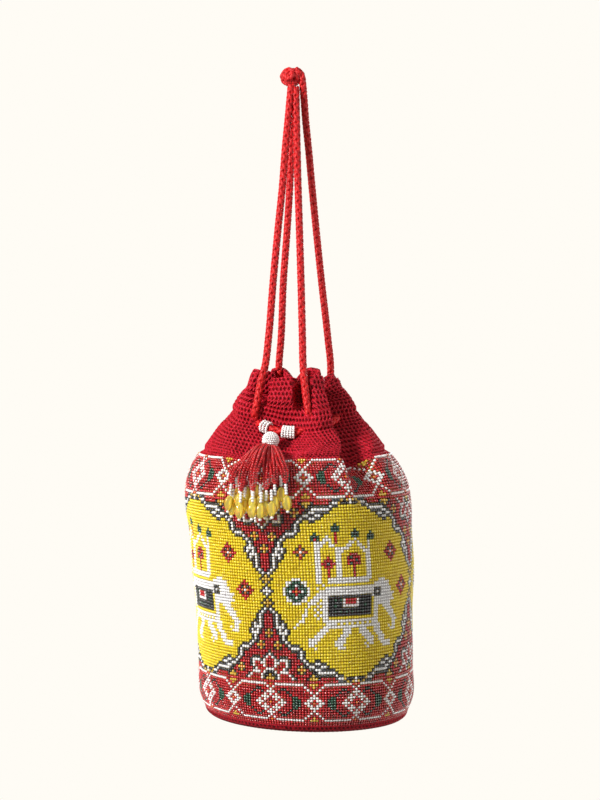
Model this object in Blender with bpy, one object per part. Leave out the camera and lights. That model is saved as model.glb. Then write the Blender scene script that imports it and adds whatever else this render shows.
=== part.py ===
"""Beaded potli bag: a hanging drawstring pouch of bead crochet.

Metres, +Z up, -Y towards the viewer. The origin is the hang point at the top of the knot.
Azimuths are in degrees from the front of the bag, positive towards its right (+X).
"""

import math

import bmesh
import bpy
import numpy as np
from mathutils import Vector

MM = 0.001

# Heights, measured down from the hang point or along the bag
HANG_DROP = 480.0 * MM
BASE_HEIGHT = 6.2 * MM
BEADED_HEIGHT = 187.5 * MM
SHOULDER_HEIGHT = 31.0 * MM
RUFFLE_HEIGHT = 29.0 * MM

# Radii of the round parts
BODY_RADIUS = 80.2 * MM
NECK_RADIUS = 45.5 * MM
BASE_SWAY = 10.9 * MM
NECK_SWAY = 2.0 * MM
RIM_ROUND = 5.0 * MM
FLOOR_ROUND = 1.5 * MM

# Walls and clearances
BEADED_WALL = 3.0 * MM
COLLAR_WALL = 2.5 * MM
BASE_WALL = 3.4 * MM
SEAM_GAP = 0.3 * MM
EYELET_GAP = 0.5 * MM
PRESS_GAP = 1.3 * MM

# How the gathered neck hangs
FRONT_DROP = 14.5 * MM
RUFFLE_DIP = 10.0 * MM
RUFFLE_SIDE_DIP = 6.0 * MM
VALLEY_SAG = 9.0 * MM

# Cords and knot
CORD_DIAMETER = 5.2 * MM
CORD_RING_INSET = 11.5 * MM
KNOT_RADIUS = 7.8 * MM
KNOT_HEIGHT = 15.0 * MM

# Beaded wraps on the ring of cord
WRAP_DIAMETER = 9.5 * MM
WRAP_LENGTH_LEFT = 7.0 * MM
WRAP_LENGTH_RIGHT = 9.5 * MM

# Tassel. Its ball lies in the front pleat of the neck, below the ring of cord.
BALL_DIAMETER = 12.6 * MM
BALL_LEFT = 15.3 * MM
BALL_FORWARD = 16.155 * MM
BALL_DOWN = 5.2 * MM
HEAD_DIAMETER = 6.8 * MM
HEAD_HEIGHT = 3.2 * MM
HEAD_FORWARD = 2.4 * MM
HEAD_DOWN = 4.0 * MM
TASSEL_SPREAD = 27.0 * MM
TASSEL_LENGTH = 36.5 * MM
LOCK_WIDTH = 7.0 * MM
LOCK_THICKNESS = 4.2 * MM
DROP_LENGTH = 19.6 * MM
DROP_WIDTH = 6.0 * MM
DROP_THICKNESS = 4.0 * MM
DROP_LAYER_STEP = 4.5 * MM
DROP_GAP = 1.0 * MM

# Colours
CROCHET_RED = (0.55, 0.01, 0.05)
CORD_RED = (0.62, 0.02, 0.04)
SEED_RED = (0.50, 0.01, 0.03)
PEARL = (0.90, 0.90, 0.86)
BEAD_YELLOW = (0.75, 0.55, 0.05)
PETAL_YELLOW = (0.85, 0.70, 0.10)

COLUMNS = 76
BASE_COLUMNS = 44
CORD_POINT_STEP = 3.0 * CORD_DIAMETER

BASE_TOP = -HANG_DROP + BASE_HEIGHT
BEADED_TOP = BASE_TOP + BEADED_HEIGHT
CINCH_HEIGHT = BEADED_TOP + SHOULDER_HEIGHT
CORD_RING_RADIUS = NECK_RADIUS - CORD_RING_INSET

# Wall sections, with columns level, spread, gather and sway. level: 0 to 1 up the beaded wall,
# 1 to 2 up the shoulder, 2 to 3 up the ruffle.
# spread: share of the step from neck radius to body radius. gather: share of the neck radius.
# sway: share of the step from neck sway to base sway.
SECTIONS = (
    (0.000, 0.914, 1.00, 1.00),
    (0.045, 0.977, 1.00, 1.00),
    (0.168, 0.974, 1.00, 0.94),
    (0.285, 0.983, 1.00, 0.88),
    (0.408, 1.000, 1.00, 0.81),
    (0.552, 1.058, 1.00, 0.70),
    (0.696, 1.062, 1.00, 0.50),
    (0.815, 1.098, 1.00, 0.28),
    (0.863, 1.075, 1.00, 0.22),
    (0.911, 1.012, 1.00, 0.14),
    (0.957, 0.895, 1.00, 0.06),
    (1.000, 0.735, 1.00, 0.02),
    (1.190, 0.597, 1.00, 0.00),
    (1.420, 0.455, 1.00, 0.00),
    (1.620, 0.335, 1.00, 0.00),
    (1.760, 0.235, 1.00, 0.00),
    (1.890, 0.110, 1.00, 0.00),
    (2.000, 0.000, 1.00, 0.00),
    (2.140, 0.000, 1.01, 0.00),
    (2.360, 0.000, 0.94, 0.00),
    (2.670, 0.000, 0.82, 0.00),
    (3.000, 0.000, 0.66, 0.00),
)

# Pleats, with columns azimuth, left, right, narrow, edge, shoulder, neck and ruffle. Each is a
# valley between two ridges of cloth. left and right: half widths in degrees at the neck.
# narrow: share of those widths left at the beaded edge. The depths are shares of the wall's
# radius at the beaded edge, on the shoulder, at the neck and along the ruffle.
FRONT_PLEAT = 0.41
PLEATS = (
    (-20.0, 54.0, 50.0, 0.50, 0.04, 0.30, FRONT_PLEAT, 0.10),
    (-48.0, 19.0, 15.0, 0.60, 0.00, 0.00, 0.10, 0.42),
    (8.0, 14.0, 15.0, 0.60, 0.00, 0.00, 0.10, 0.40),
    (47.0, 10.0, 25.0, 0.60, 0.20, 0.34, 0.44, 0.42),
    (99.0, 17.0, 16.0, 0.60, 0.10, 0.28, 0.44, 0.44),
    (134.0, 14.0, 14.0, 0.60, 0.08, 0.26, 0.42, 0.42),
    (180.0, 22.0, 20.0, 0.60, 0.10, 0.28, 0.44, 0.44),
    (226.0, 18.0, 18.0, 0.60, 0.08, 0.26, 0.42, 0.42),
    (260.0, 14.0, 14.0, 0.60, 0.10, 0.28, 0.42, 0.42),
)
# Share of the neck's drop that the ruffle has made up at its rim
RUFFLE_LEVELLING = 0.80
PLEAT_LEVELS = (0.80, 1.00, 1.60, 2.00, 2.20, 2.60)
DEEPEST_PLEAT = 0.44
DEEPEST_EDGE_PLEAT = 0.20

# Places round the ring of cord, in degrees
WRAP_LEFT_AZIMUTH = -37.5
WRAP_RIGHT_AZIMUTH = -7.4

# Routes of the four taut strands, from the knot down, chosen by hand. Across, deep, down in mm.
STRAND_ROUTES = {
    "front_left": (
        (-2.9, -2.9, -15.4), (-4.5, -6.0, -60.0), (-6.8, -9.0, -87.0), (-10.3, -13.0, -122.0),
        (-13.6, -17.0, -158.0), (-17.2, -21.5, -202.0), (-19.3, -23.5, -220.0),
        (-23.0, -23.5, -235.0), (-25.2, -21.5, -246.0), (-27.3, -17.6, -258.6),
    ),
    "front_right": (
        (2.9, -2.9, -15.4), (3.8, -6.0, -60.0), (4.5, -9.0, -87.0), (5.6, -14.0, -122.0),
        (6.7, -19.0, -158.0), (7.8, -25.5, -202.0), (8.2, -28.0, -220.0),
        (8.9, -30.5, -230.0), (10.9, -33.0, -247.0), (13.0, -32.3, -265.7),
    ),
    "back_left": (
        (-2.9, 2.9, -15.4), (-2.2, 5.0, -60.0), (-1.6, 8.0, -87.0), (-3.8, 13.0, -122.0),
        (-6.5, 18.0, -158.0), (-8.4, 25.0, -202.0), (-10.0, 29.0, -222.0), (-9.4, 31.7, -243.9),
    ),
    "back_right": (
        (2.9, 2.9, -15.4), (11.2, 7.0, -60.0), (14.6, 10.0, -87.0), (18.4, 14.0, -122.0),
        (22.2, 17.5, -158.0), (27.2, 21.0, -202.0), (29.2, 22.6, -222.0), (28.2, 22.2, -245.9),
    ),
}

# The tassel's drops, with columns across, down, lean and layer. across: share of the tassel's
# spread from the ball's middle. down: share of its length from the ball to the top of the drop.
# lean: how far the tip lies to the right of the top, as a share of the drop's length.
# layer: 0 lies against the wall, 2 is the outermost.
DROPS = (
    (-0.996, 1.000, -0.133, 1),
    (-0.867, 0.863, 0.071, 0),
    (-0.633, 1.055, -0.082, 1),
    (-0.348, 0.767, -0.061, 0),
    (-0.467, 0.986, 0.051, 1),
    (-0.052, 0.904, -0.173, 0),
    (-0.078, 1.110, -0.061, 1),
    (0.133, 1.000, 0.026, 1),
    (0.415, 1.041, 0.082, 1),
    (-0.737, 1.260, -0.071, 2),
    (-0.426, 1.219, -0.051, 2),
    (0.285, 0.836, 0.051, 0),
)
# How closely the row of drops follows the round of the wall
DROP_CURVE = 0.55
# Where a lock bends over the shoulder, as shares of the tassel's length below the ball
LOCK_KNEE = 0.186
LOCK_BROW = 0.425
LOCK_SIDES = 6
DROP_SIDES = 6

# Petal drop: share of its length from the top, share of its half width
DROP_PROFILE = (
    (0.00, 0.30), (0.40, 0.34), (0.48, 0.72), (0.62, 1.00), (0.78, 0.66), (0.87, 0.26),
    (0.94, 0.44), (0.985, 0.30),
)


def smoothstep(value, low, high):
    share = min(max((value - low) / (high - low), 0.0), 1.0)
    return share * share * (3.0 - 2.0 * share)


def smooth_row(rows, value):
    """Row of a table at a value of its first column, on a smooth curve through the rows."""
    table = np.array(rows)
    keys = table[:, 0]
    index = int(np.clip(np.searchsorted(keys, value) - 1, 0, len(keys) - 2))
    slopes = np.gradient(table, keys, axis=0)
    width = keys[index + 1] - keys[index]
    t = (value - keys[index]) / width
    low, high = table[index], table[index + 1]
    return (
        (2 * t**3 - 3 * t**2 + 1) * low + (t**3 - 2 * t**2 + t) * width * slopes[index]
        + (3 * t**2 - 2 * t**3) * high + (t**3 - t**2) * width * slopes[index + 1]
    )


def pleat_depth(azimuth, level):
    """How far the cloth is folded in at a place, as a share of the wall's radius."""
    deepest = 0.0
    for middle, left, right, narrow, edge, shoulder, neck, ruffle in PLEATS:
        depths = (0.0, edge, shoulder, neck, neck, ruffle)
        depth = float(np.interp(level, PLEAT_LEVELS, depths))
        width_share = narrow + (1.0 - narrow) * smoothstep(level, 0.9, 1.9)
        away = (azimuth - middle + 180.0) % 360.0 - 180.0
        half_width = (left if away < 0.0 else right) * width_share
        if abs(away) < half_width:
            fall = (abs(away) / half_width) ** 1.7
            deepest = max(deepest, depth * math.cos(0.5 * math.pi * fall) ** 2)
    return deepest


def neck_drop(azimuth):
    """How far the gathered neck hangs below its middle height at an azimuth."""
    facing = math.cos(math.radians(azimuth))
    return FRONT_DROP * (0.8 * facing + 0.2 * facing * facing)


def level_height(level):
    if level <= 1.0:
        return BASE_TOP + BEADED_HEIGHT * level
    if level <= 2.0:
        return BEADED_TOP + SHOULDER_HEIGHT * (level - 1.0)
    return CINCH_HEIGHT + RUFFLE_HEIGHT * (level - 2.0)


def bare_wall_point(azimuth, level):
    _, spread, gather, sway = smooth_row(SECTIONS, level)
    depth = pleat_depth(azimuth, level)
    radius = NECK_RADIUS * gather + (BODY_RADIUS - NECK_RADIUS) * spread
    radius *= 1.0 - depth
    height = level_height(level)
    levelling = 1.0 - RUFFLE_LEVELLING * smoothstep(level, 2.0, 3.0)
    height -= neck_drop(azimuth) * smoothstep(level, 0.87, 1.9) * levelling
    sag = smoothstep(level, 0.8, 1.0) * (1.0 - smoothstep(level, 1.0, 1.7))
    height -= VALLEY_SAG * sag * min(depth / DEEPEST_EDGE_PLEAT, 1.0)
    turn = math.radians(azimuth)
    dip = RUFFLE_DIP * depth / DEEPEST_PLEAT + RUFFLE_SIDE_DIP * math.sin(turn) ** 2
    height -= dip * smoothstep(level, 2.3, 3.0)
    middle = NECK_SWAY + (BASE_SWAY - NECK_SWAY) * sway
    return Vector((middle + radius * math.sin(turn), -radius * math.cos(turn), height))


def ring_point(azimuth):
    """Point on the middle line of the ring of cord in the gather."""
    turn = math.radians(azimuth)
    across = NECK_SWAY + CORD_RING_RADIUS * math.sin(turn)
    return Vector((across, -CORD_RING_RADIUS * math.cos(turn), CINCH_HEIGHT - neck_drop(azimuth)))


def ball_middle():
    """Middle of the tassel's ball."""
    valley = NECK_RADIUS * (1.0 - FRONT_PLEAT)
    return Vector((-BALL_LEFT, -valley - BALL_FORWARD, CINCH_HEIGHT - FRONT_DROP - BALL_DOWN))


def pressing_beads():
    """Middle and radius of what presses into the cloth: the tassel's ball and the wraps."""
    beads = [(ball_middle(), 0.5 * BALL_DIAMETER)]
    for azimuth, length in ((WRAP_LEFT_AZIMUTH, WRAP_LENGTH_LEFT), (WRAP_RIGHT_AZIMUTH, WRAP_LENGTH_RIGHT)):
        beads.append((ring_point(azimuth), math.hypot(0.5 * WRAP_DIAMETER, 0.4 * length)))
    return beads


def wall_point(azimuth, level, depth_in):
    """Point on the wall, a given depth in from its outer face, pressed in by ball and wraps."""
    step = 0.4
    across = bare_wall_point(azimuth + step, level) - bare_wall_point(azimuth - step, level)
    low, high = max(level - 0.02, 0.0), min(level + 0.02, 3.0)
    upward = bare_wall_point(azimuth, high) - bare_wall_point(azimuth, low)
    point = bare_wall_point(azimuth, level) - across.cross(upward).normalized() * depth_in
    for middle, radius in pressing_beads():
        away = point - middle
        reach = radius + PRESS_GAP + depth_in
        if away.length < reach:
            point = middle + away.normalized() * reach
    return point


def finish_object(name, mesh, colour, roughness):
    """Object of its own with its own material, smooth but for its sharp edges."""
    mesh.shade_smooth()
    mesh.set_sharp_from_angle(angle=math.radians(50.0))
    material = bpy.data.materials.new(name)
    material.use_nodes = True
    shader = material.node_tree.nodes["Principled BSDF"]
    shader.inputs["Base Color"].default_value = (*colour, 1.0)
    shader.inputs["Roughness"].default_value = roughness
    mesh.materials.clear()
    mesh.materials.append(material)
    piece = bpy.data.objects.new(name, mesh)
    bpy.context.scene.collection.objects.link(piece)
    return piece


def mesh_from_rings(name, rings, closed_loop=False):
    """Closed mesh through rings of points; open ends are capped with a flat face."""
    mesh = bpy.data.meshes.new(name)
    shape = bmesh.new()
    loops = [[shape.verts.new(point) for point in ring] for ring in rings]
    pairs = list(zip(loops, loops[1:]))
    if closed_loop:
        pairs.append((loops[-1], loops[0]))
    for low, high in pairs:
        for i in range(len(low)):
            j = (i + 1) % len(low)
            shape.faces.new((low[i], low[j], high[j], high[i]))
    if not closed_loop:
        shape.faces.new(list(reversed(loops[0])))
        shape.faces.new(loops[-1])
    bmesh.ops.triangulate(shape, faces=shape.faces)
    bmesh.ops.recalc_face_normals(shape, faces=shape.faces)
    if shape.calc_volume(signed=True) < 0.0:
        bmesh.ops.reverse_faces(shape, faces=shape.faces)
    shape.to_mesh(mesh)
    shape.free()
    return mesh


def wall_mesh(name, thickness, outer_levels, inner_levels):
    """Hollow ring of wall: up its outer face and down its inner face."""
    azimuths = [360.0 * i / COLUMNS for i in range(COLUMNS)]
    rings = [[wall_point(a, level, 0.0) for a in azimuths] for level in outer_levels]
    rings += [[wall_point(a, level, thickness) for a in azimuths] for level in reversed(inner_levels)]
    return mesh_from_rings(name, rings, closed_loop=True)


def ring_direction(azimuth):
    return (ring_point(azimuth + 1.0) - ring_point(azimuth - 1.0)).normalized()


def circle_round(middle, direction, radius, sides, phase=0.0):
    side = direction.cross(Vector((0.0, 0.0, 1.0)))
    side = side.normalized() if side.length > 1e-6 else Vector((1.0, 0.0, 0.0))
    up = side.cross(direction).normalized()
    turns = [2.0 * math.pi * i / sides + phase for i in range(sides)]
    return [middle + radius * (math.cos(t) * side + math.sin(t) * up) for t in turns]


def ring_cord_mesh(name, radius, steps=38, sides=8):
    azimuths = [360.0 * i / steps for i in range(steps)]
    rings = [circle_round(ring_point(a), ring_direction(a), radius, sides) for a in azimuths]
    return mesh_from_rings(name, rings, closed_loop=True)


def strand_points(side):
    """Points of a strand's middle line, evenly spaced on a smooth curve through its route."""
    route = [Vector(point) * MM for point in STRAND_ROUTES[side]]
    along = [0.0]
    for low, high in zip(route, route[1:]):
        along.append(along[-1] + (high - low).length)
    rows = [(distance, *point) for distance, point in zip(along, route)]
    count = max(int(along[-1] / CORD_POINT_STEP), 4)
    return [Vector(smooth_row(rows, along[-1] * i / count)[1:]) for i in range(count + 1)]


def strand_object(side):
    """Tube along one strand's route, with filled ends."""
    name = "cord_" + side
    curve = bpy.data.curves.new(name, "CURVE")
    curve.dimensions = "3D"
    curve.bevel_depth = 0.5 * CORD_DIAMETER
    curve.bevel_resolution = 2
    curve.use_fill_caps = True
    points = strand_points(side)
    spline = curve.splines.new("POLY")
    spline.points.add(len(points) - 1)
    for place, point in zip(spline.points, points):
        place.co = (*point, 1.0)
    strand = bpy.data.objects.new(name, curve)
    bpy.context.scene.collection.objects.link(strand)
    material = bpy.data.materials.new(name)
    material.use_nodes = True
    shader = material.node_tree.nodes["Principled BSDF"]
    shader.inputs["Base Color"].default_value = (*CORD_RED, 1.0)
    shader.inputs["Roughness"].default_value = 0.5
    curve.materials.append(material)
    return strand


def strand_channel_mesh(side):
    """Cutter for the room that a strand takes where it lies in the gathered cloth."""
    points = strand_points(side)
    radius = 0.5 * CORD_DIAMETER + EYELET_GAP
    rings = []
    for i, point in enumerate(points):
        low, high = points[max(i - 1, 0)], points[min(i + 1, len(points) - 1)]
        rings.append(circle_round(point, (high - low).normalized(), radius, 8))
    return mesh_from_rings("channel_" + side, rings)


def combine(piece, other_mesh, operation):
    """Boolean of a piece with a mesh, applied at once, so that one closed mesh is left."""
    other = bpy.data.objects.new("other", other_mesh)
    bpy.context.scene.collection.objects.link(other)
    other.hide_render = True
    other.display_type = "WIRE"
    change = piece.modifiers.new("combine", "BOOLEAN")
    change.operation = operation
    change.solver = "MANIFOLD"
    change.object = other
    bpy.context.view_layer.update()
    evaluated = piece.evaluated_get(bpy.context.evaluated_depsgraph_get())
    mesh = bpy.data.meshes.new_from_object(evaluated)
    piece.modifiers.clear()
    piece.data = mesh
    bpy.data.objects.remove(other)


def tidy_mesh(piece):
    """Triangles only, with points closer than a hair's width made one."""
    shape = bmesh.new()
    shape.from_mesh(piece.data)
    bmesh.ops.remove_doubles(shape, verts=shape.verts, dist=0.003 * MM)
    bmesh.ops.dissolve_degenerate(shape, edges=shape.edges, dist=0.003 * MM)
    bmesh.ops.triangulate(shape, faces=shape.faces)
    shape.to_mesh(piece.data)
    shape.free()


def build_base():
    """Crocheted bottom: a flat disc with a rounded rim that the beaded wall stands on."""
    rim = NECK_RADIUS + (BODY_RADIUS - NECK_RADIUS) * SECTIONS[0][1]
    rim_top = BASE_TOP - SEAM_GAP
    floor_top = -HANG_DROP + BASE_WALL
    profile = (
        (rim - RIM_ROUND, -HANG_DROP),
        (rim - 0.511 * RIM_ROUND, -HANG_DROP + 0.2 * BASE_HEIGHT),
        (rim - 0.167 * RIM_ROUND, -HANG_DROP + 0.55 * BASE_HEIGHT),
        (rim, rim_top),
        (rim - BEADED_WALL, rim_top),
        (rim - BEADED_WALL - FLOOR_ROUND, floor_top),
    )
    rings = []
    for radius, height in profile:
        turns = [2.0 * math.pi * i / BASE_COLUMNS for i in range(BASE_COLUMNS)]
        rings.append([(BASE_SWAY + radius * math.sin(t), -radius * math.cos(t), height) for t in turns])
    finish_object("base_disc", mesh_from_rings("base_disc", rings), CROCHET_RED, 0.8)


def build_beaded_body():
    outer = (0.0, 0.045, 0.408, 0.552, 0.696, 0.815, 0.863, 0.911, 0.957, 0.998)
    inner = (0.0, 0.408, 0.815, 0.911, 0.998)
    mesh = wall_mesh("beaded_body", BEADED_WALL, outer, inner)
    finish_object("beaded_body", mesh, BEAD_YELLOW, 0.3)


def build_collar():
    """Gathered collar with its ruffle, holed where the cords pass through and lie in it."""
    seam = 1.0 + SEAM_GAP / SHOULDER_HEIGHT
    outer = (seam, 1.19, 1.42, 1.62, 1.76, 1.89, 2.0, 2.14, 2.36, 2.67, 3.0)
    inner = (seam, 1.42, 1.8, 2.0, 2.36, 3.0)
    collar = finish_object("collar", wall_mesh("collar", COLLAR_WALL, outer, inner), CROCHET_RED, 0.8)
    channels = bpy.data.objects.new("channels", ring_cord_mesh("eyelets", 0.5 * CORD_DIAMETER + EYELET_GAP))
    bpy.context.scene.collection.objects.link(channels)
    for side in STRAND_ROUTES:
        combine(channels, strand_channel_mesh(side), "UNION")
    combine(collar, channels.data, "DIFFERENCE")
    bpy.data.objects.remove(channels)
    tidy_mesh(collar)


def build_wrap(name, azimuth, length):
    """Beaded wrap: a short sleeve round the ring of cord."""
    half_turn = math.degrees(0.5 * length / CORD_RING_RADIUS)
    outer, inner = 0.5 * WRAP_DIAMETER, 0.5 * CORD_DIAMETER + SEAM_GAP
    azimuths = [azimuth + half_turn * share for share in (-1.0, -0.55, 0.0, 0.55, 1.0)]
    radii = [0.86 * outer, outer, outer, outer, 0.86 * outer]
    rings = [circle_round(ring_point(a), ring_direction(a), r, 12) for a, r in zip(azimuths, radii)]
    rings += [
        circle_round(ring_point(a), ring_direction(a), inner, 12)
        for a in (azimuths[-1], azimuths[2], azimuths[0])
    ]
    finish_object(name, mesh_from_rings(name, rings, closed_loop=True), PEARL, 0.25)


def build_round(name, middle, half_width, half_height, colour, roughness, sides=14, bands=7):
    """Round bead or knot, flat at its poles, as rings from bottom to top."""
    rings = []
    for band in range(bands + 1):
        tip = math.radians(-78.0 + 156.0 * band / bands)
        radius = half_width * math.cos(tip)
        height = half_height * math.sin(tip) / math.sin(math.radians(78.0))
        turns = [2.0 * math.pi * i / sides for i in range(sides)]
        rings.append([middle + Vector((radius * math.cos(t), radius * math.sin(t), height)) for t in turns])
    return finish_object(name, mesh_from_rings(name, rings), colour, roughness)


def drop_top(row):
    """Top of a drop, in its layer in front of the beaded wall."""
    across, down, _, layer = row
    ball = ball_middle()
    widest = NECK_RADIUS + (BODY_RADIUS - NECK_RADIUS) * max(section[1] for section in SECTIONS)
    clear = widest + DROP_GAP + 0.5 * DROP_THICKNESS + layer * DROP_LAYER_STEP
    x = ball.x + across * TASSEL_SPREAD
    return Vector((x, -math.sqrt(clear * clear - DROP_CURVE * x * x), ball.z - down * TASSEL_LENGTH))


def build_drop(index, row):
    """Bead stack, petal and end bead on one axis."""
    top = drop_top(row)
    tip = top + DROP_LENGTH * Vector((row[2], 0.0, -math.sqrt(1.0 - row[2] ** 2)))
    down = (tip - top).normalized()
    side = Vector((0.0, 1.0, 0.0)).cross(down).normalized()
    front = down.cross(side)
    flat = DROP_THICKNESS / DROP_WIDTH
    rings = []
    for along, share in DROP_PROFILE:
        width = 0.5 * DROP_WIDTH * share
        thickness = width * (flat if share > 0.5 else 1.0)
        ring = []
        for i in range(DROP_SIDES):
            turn = 2.0 * math.pi * i / DROP_SIDES
            offset = side * width * math.cos(turn) + front * thickness * math.sin(turn)
            ring.append(top + (tip - top) * along + offset)
        rings.append(ring)
    name = f"tassel_drop_{index:02d}"
    finish_object(name, mesh_from_rings(name, rings), PETAL_YELLOW, 0.2)


def head_middle():
    """Middle of the head that the locks are fused to, in front of the ball and below it."""
    return ball_middle() - Vector((0.0, 0.5 * BALL_DIAMETER + HEAD_FORWARD, HEAD_DOWN))


def lock_mesh(row):
    """One lock of the skirt: from under the ball, over the shoulder, down to its drop."""
    ball = ball_middle()
    end = drop_top(row) + Vector((0.0, 0.0, SEAM_GAP))
    layer = row[3] * DROP_LAYER_STEP
    spread = 0.08 * (end.x - ball.x)
    rise = 0.03 * (end.z - ball.z)
    top = head_middle() + Vector((spread, -0.1 * layer, -rise - 0.19 * HEAD_HEIGHT))
    knee_height = ball.z - LOCK_KNEE * TASSEL_LENGTH + 0.5 * layer
    brow_height = ball.z - LOCK_BROW * TASSEL_LENGTH + 0.8 * layer
    knee = Vector((0.3 * end.x + 0.7 * top.x, 0.42 * end.y + 0.58 * top.y, knee_height))
    brow = Vector((0.62 * end.x + 0.38 * top.x, 0.9 * end.y - 0.2 * layer, brow_height))
    low = Vector((0.95 * end.x + 0.05 * top.x, end.y, 0.45 * brow.z + 0.55 * end.z))
    route = (top, knee, brow, low, end)
    widths = (0.35, 0.62, 0.95, 1.0, 0.55)
    rings = []
    for i, (middle, share) in enumerate(zip(route, widths)):
        before, after = route[max(i - 1, 0)], route[min(i + 1, len(route) - 1)]
        along = (after - before).normalized() if i < len(route) - 1 else Vector((0.0, 0.0, -1.0))
        side = Vector((1.0, 0.0, 0.0))
        side = (side - along * side.dot(along)).normalized()
        front = along.cross(side)
        ring = []
        for j in range(LOCK_SIDES):
            turn = 2.0 * math.pi * j / LOCK_SIDES
            ring.append(
                middle + side * (0.5 * LOCK_WIDTH * share * math.cos(turn))
                + front * (0.5 * LOCK_THICKNESS * math.sin(turn))
            )
        rings.append(ring)
    return mesh_from_rings("lock", rings)


def build_tassel():
    """Ball, skirt of locks fused at their head, and the drops."""
    half = 0.5 * BALL_DIAMETER
    build_round("tassel_ball", ball_middle(), half, half, PEARL, 0.25)
    skirt = build_round(
        "tassel_skirt", head_middle(), 0.5 * HEAD_DIAMETER, 0.5 * HEAD_HEIGHT, SEED_RED, 0.35, 10, 3
    )
    for row in DROPS:
        combine(skirt, lock_mesh(row), "UNION")
    tidy_mesh(skirt)
    for index, row in enumerate(DROPS, start=1):
        build_drop(index, row)


def build_cords():
    ring = ring_cord_mesh("neck_cord", 0.5 * CORD_DIAMETER)
    finish_object("neck_cord", ring, CORD_RED, 0.5)
    for side in STRAND_ROUTES:
        strand_object(side)
    middle = Vector((0.0, 0.0, -0.5 * KNOT_HEIGHT))
    build_round("top_knot", middle, KNOT_RADIUS, 0.5 * KNOT_HEIGHT, CORD_RED, 0.5)
    build_wrap("bead_ring_left", WRAP_LEFT_AZIMUTH, WRAP_LENGTH_LEFT)
    build_wrap("bead_ring_right", WRAP_RIGHT_AZIMUTH, WRAP_LENGTH_RIGHT)


def build_bag():
    for old in list(bpy.data.objects):
        bpy.data.objects.remove(old)
    build_base()
    build_beaded_body()
    build_collar()
    build_cords()
    build_tassel()


build_bag()
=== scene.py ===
"""Looks of a hanging beaded potli bag.

Bead crochet in a charted pattern, a gathered crochet collar, braided cords tied in a knot and a
beaded tassel with petal drops. Metres, +Z up, -Y towards the viewer. The origin is the top of
the knot. Azimuths are degrees from the front of the bag, positive towards +X.
"""

import logging
import math
from dataclasses import dataclass, field
from enum import Enum
from typing import Sequence

import bpy
import numpy as np
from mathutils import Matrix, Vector
from mathutils.kdtree import KDTree


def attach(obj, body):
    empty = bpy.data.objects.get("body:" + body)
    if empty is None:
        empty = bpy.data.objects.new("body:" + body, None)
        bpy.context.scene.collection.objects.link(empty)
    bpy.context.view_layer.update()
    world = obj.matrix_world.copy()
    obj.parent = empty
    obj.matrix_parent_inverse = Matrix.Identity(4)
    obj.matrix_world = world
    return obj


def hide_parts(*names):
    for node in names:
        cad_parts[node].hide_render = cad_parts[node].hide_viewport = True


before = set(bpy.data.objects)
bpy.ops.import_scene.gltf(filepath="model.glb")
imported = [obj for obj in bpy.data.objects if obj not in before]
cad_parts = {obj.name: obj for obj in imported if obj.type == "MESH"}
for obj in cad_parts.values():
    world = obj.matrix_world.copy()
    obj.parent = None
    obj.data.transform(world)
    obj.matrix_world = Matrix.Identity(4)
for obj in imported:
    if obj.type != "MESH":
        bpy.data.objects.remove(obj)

MM = 0.001
TAU = 2.0 * math.pi
ROOT = "root"
LOG = logging.getLogger("potli_bag")
Array = np.ndarray
Colour = tuple[float, float, float]
Place = tuple[float, float, float]
Faces = Sequence[Sequence[int]]
Socket = bpy.types.NodeSocket
Material = bpy.types.Material
Piece = bpy.types.Object


def smoothstep(value: Array, low: float, high: float) -> Array:
    """Smooth step from 0 at low to 1 at high."""
    share = np.clip((np.asarray(value, float) - low) / (high - low), 0.0, 1.0)
    return share * share * (3.0 - 2.0 * share)


def smooth_rows(rows: Sequence[Sequence[float]], values: Array) -> Array:
    """Rows of a table at values of its first column, on a smooth curve.

    Args:
        rows: table whose first column rises.
        values: places along that column.

    Returns:
        One row of the table for each value.
    """
    table = np.array(rows, float)
    keys = table[:, 0]
    values = np.atleast_1d(np.asarray(values, float))
    index = np.clip(np.searchsorted(keys, values) - 1, 0, len(keys) - 2)
    slopes = np.gradient(table, keys, axis=0)
    width = (keys[index + 1] - keys[index])[:, None]
    t = (values - keys[index])[:, None] / width
    return (
        (2 * t**3 - 3 * t**2 + 1) * table[index] + (t**3 - 2 * t**2 + t) * width * slopes[index]
        + (3 * t**2 - 2 * t**3) * table[index + 1] + (t**3 - t**2) * width * slopes[index + 1]
    )


def unit(vectors: Array) -> Array:
    """Vectors of length one."""
    return vectors / np.maximum(np.linalg.norm(vectors, axis=-1, keepdims=True), 1e-12)


def full_turn(count: int, shift: float = 0.0) -> Array:
    """Evenly spaced angles all round, in radians, shifted by a share of their spacing."""
    return TAU * (np.arange(count) + shift) / count


def half_turned(azimuth: Array) -> Array:
    """Azimuths brought to the range from -180 to 180 degrees."""
    return (azimuth + 180.0) % 360.0 - 180.0


def mixed(start: Array | float, end: Array | float, share: float) -> Array | float:
    """What lies a share of the way from one number to another."""
    return (1.0 - share) * start + share * end


def lengths_along(path: Array) -> Array:
    """Length of a path from its start to each of its points."""
    return np.concatenate([[0.0], np.cumsum(np.linalg.norm(np.diff(path, axis=0), axis=1))])


def linear(red: int, green: int, blue: int) -> Colour:
    """Linear colour of a screen colour from 0 to 255."""
    shares = np.array([red, green, blue]) / 255.0
    return tuple(np.where(shares <= 0.04045, shares / 12.92, ((shares + 0.055) / 1.055) ** 2.4))


# Meshes from arrays

# Round bead seen from outside, in half sizes: height of its foot, edge of its crown, its top
BEAD_FOOT = -0.25
CROWN_SPREAD = 0.72
CROWN_HEIGHT = 0.62
BEAD_TOP = 0.92


@dataclass
class Stamp:
    """One small shape that is repeated many times in a joined mesh.

    Attributes:
        points: its points, in units of its half sizes across, up and out.
        faces: its faces as tuples of point numbers.
    """

    points: Array
    faces: Faces


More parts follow.
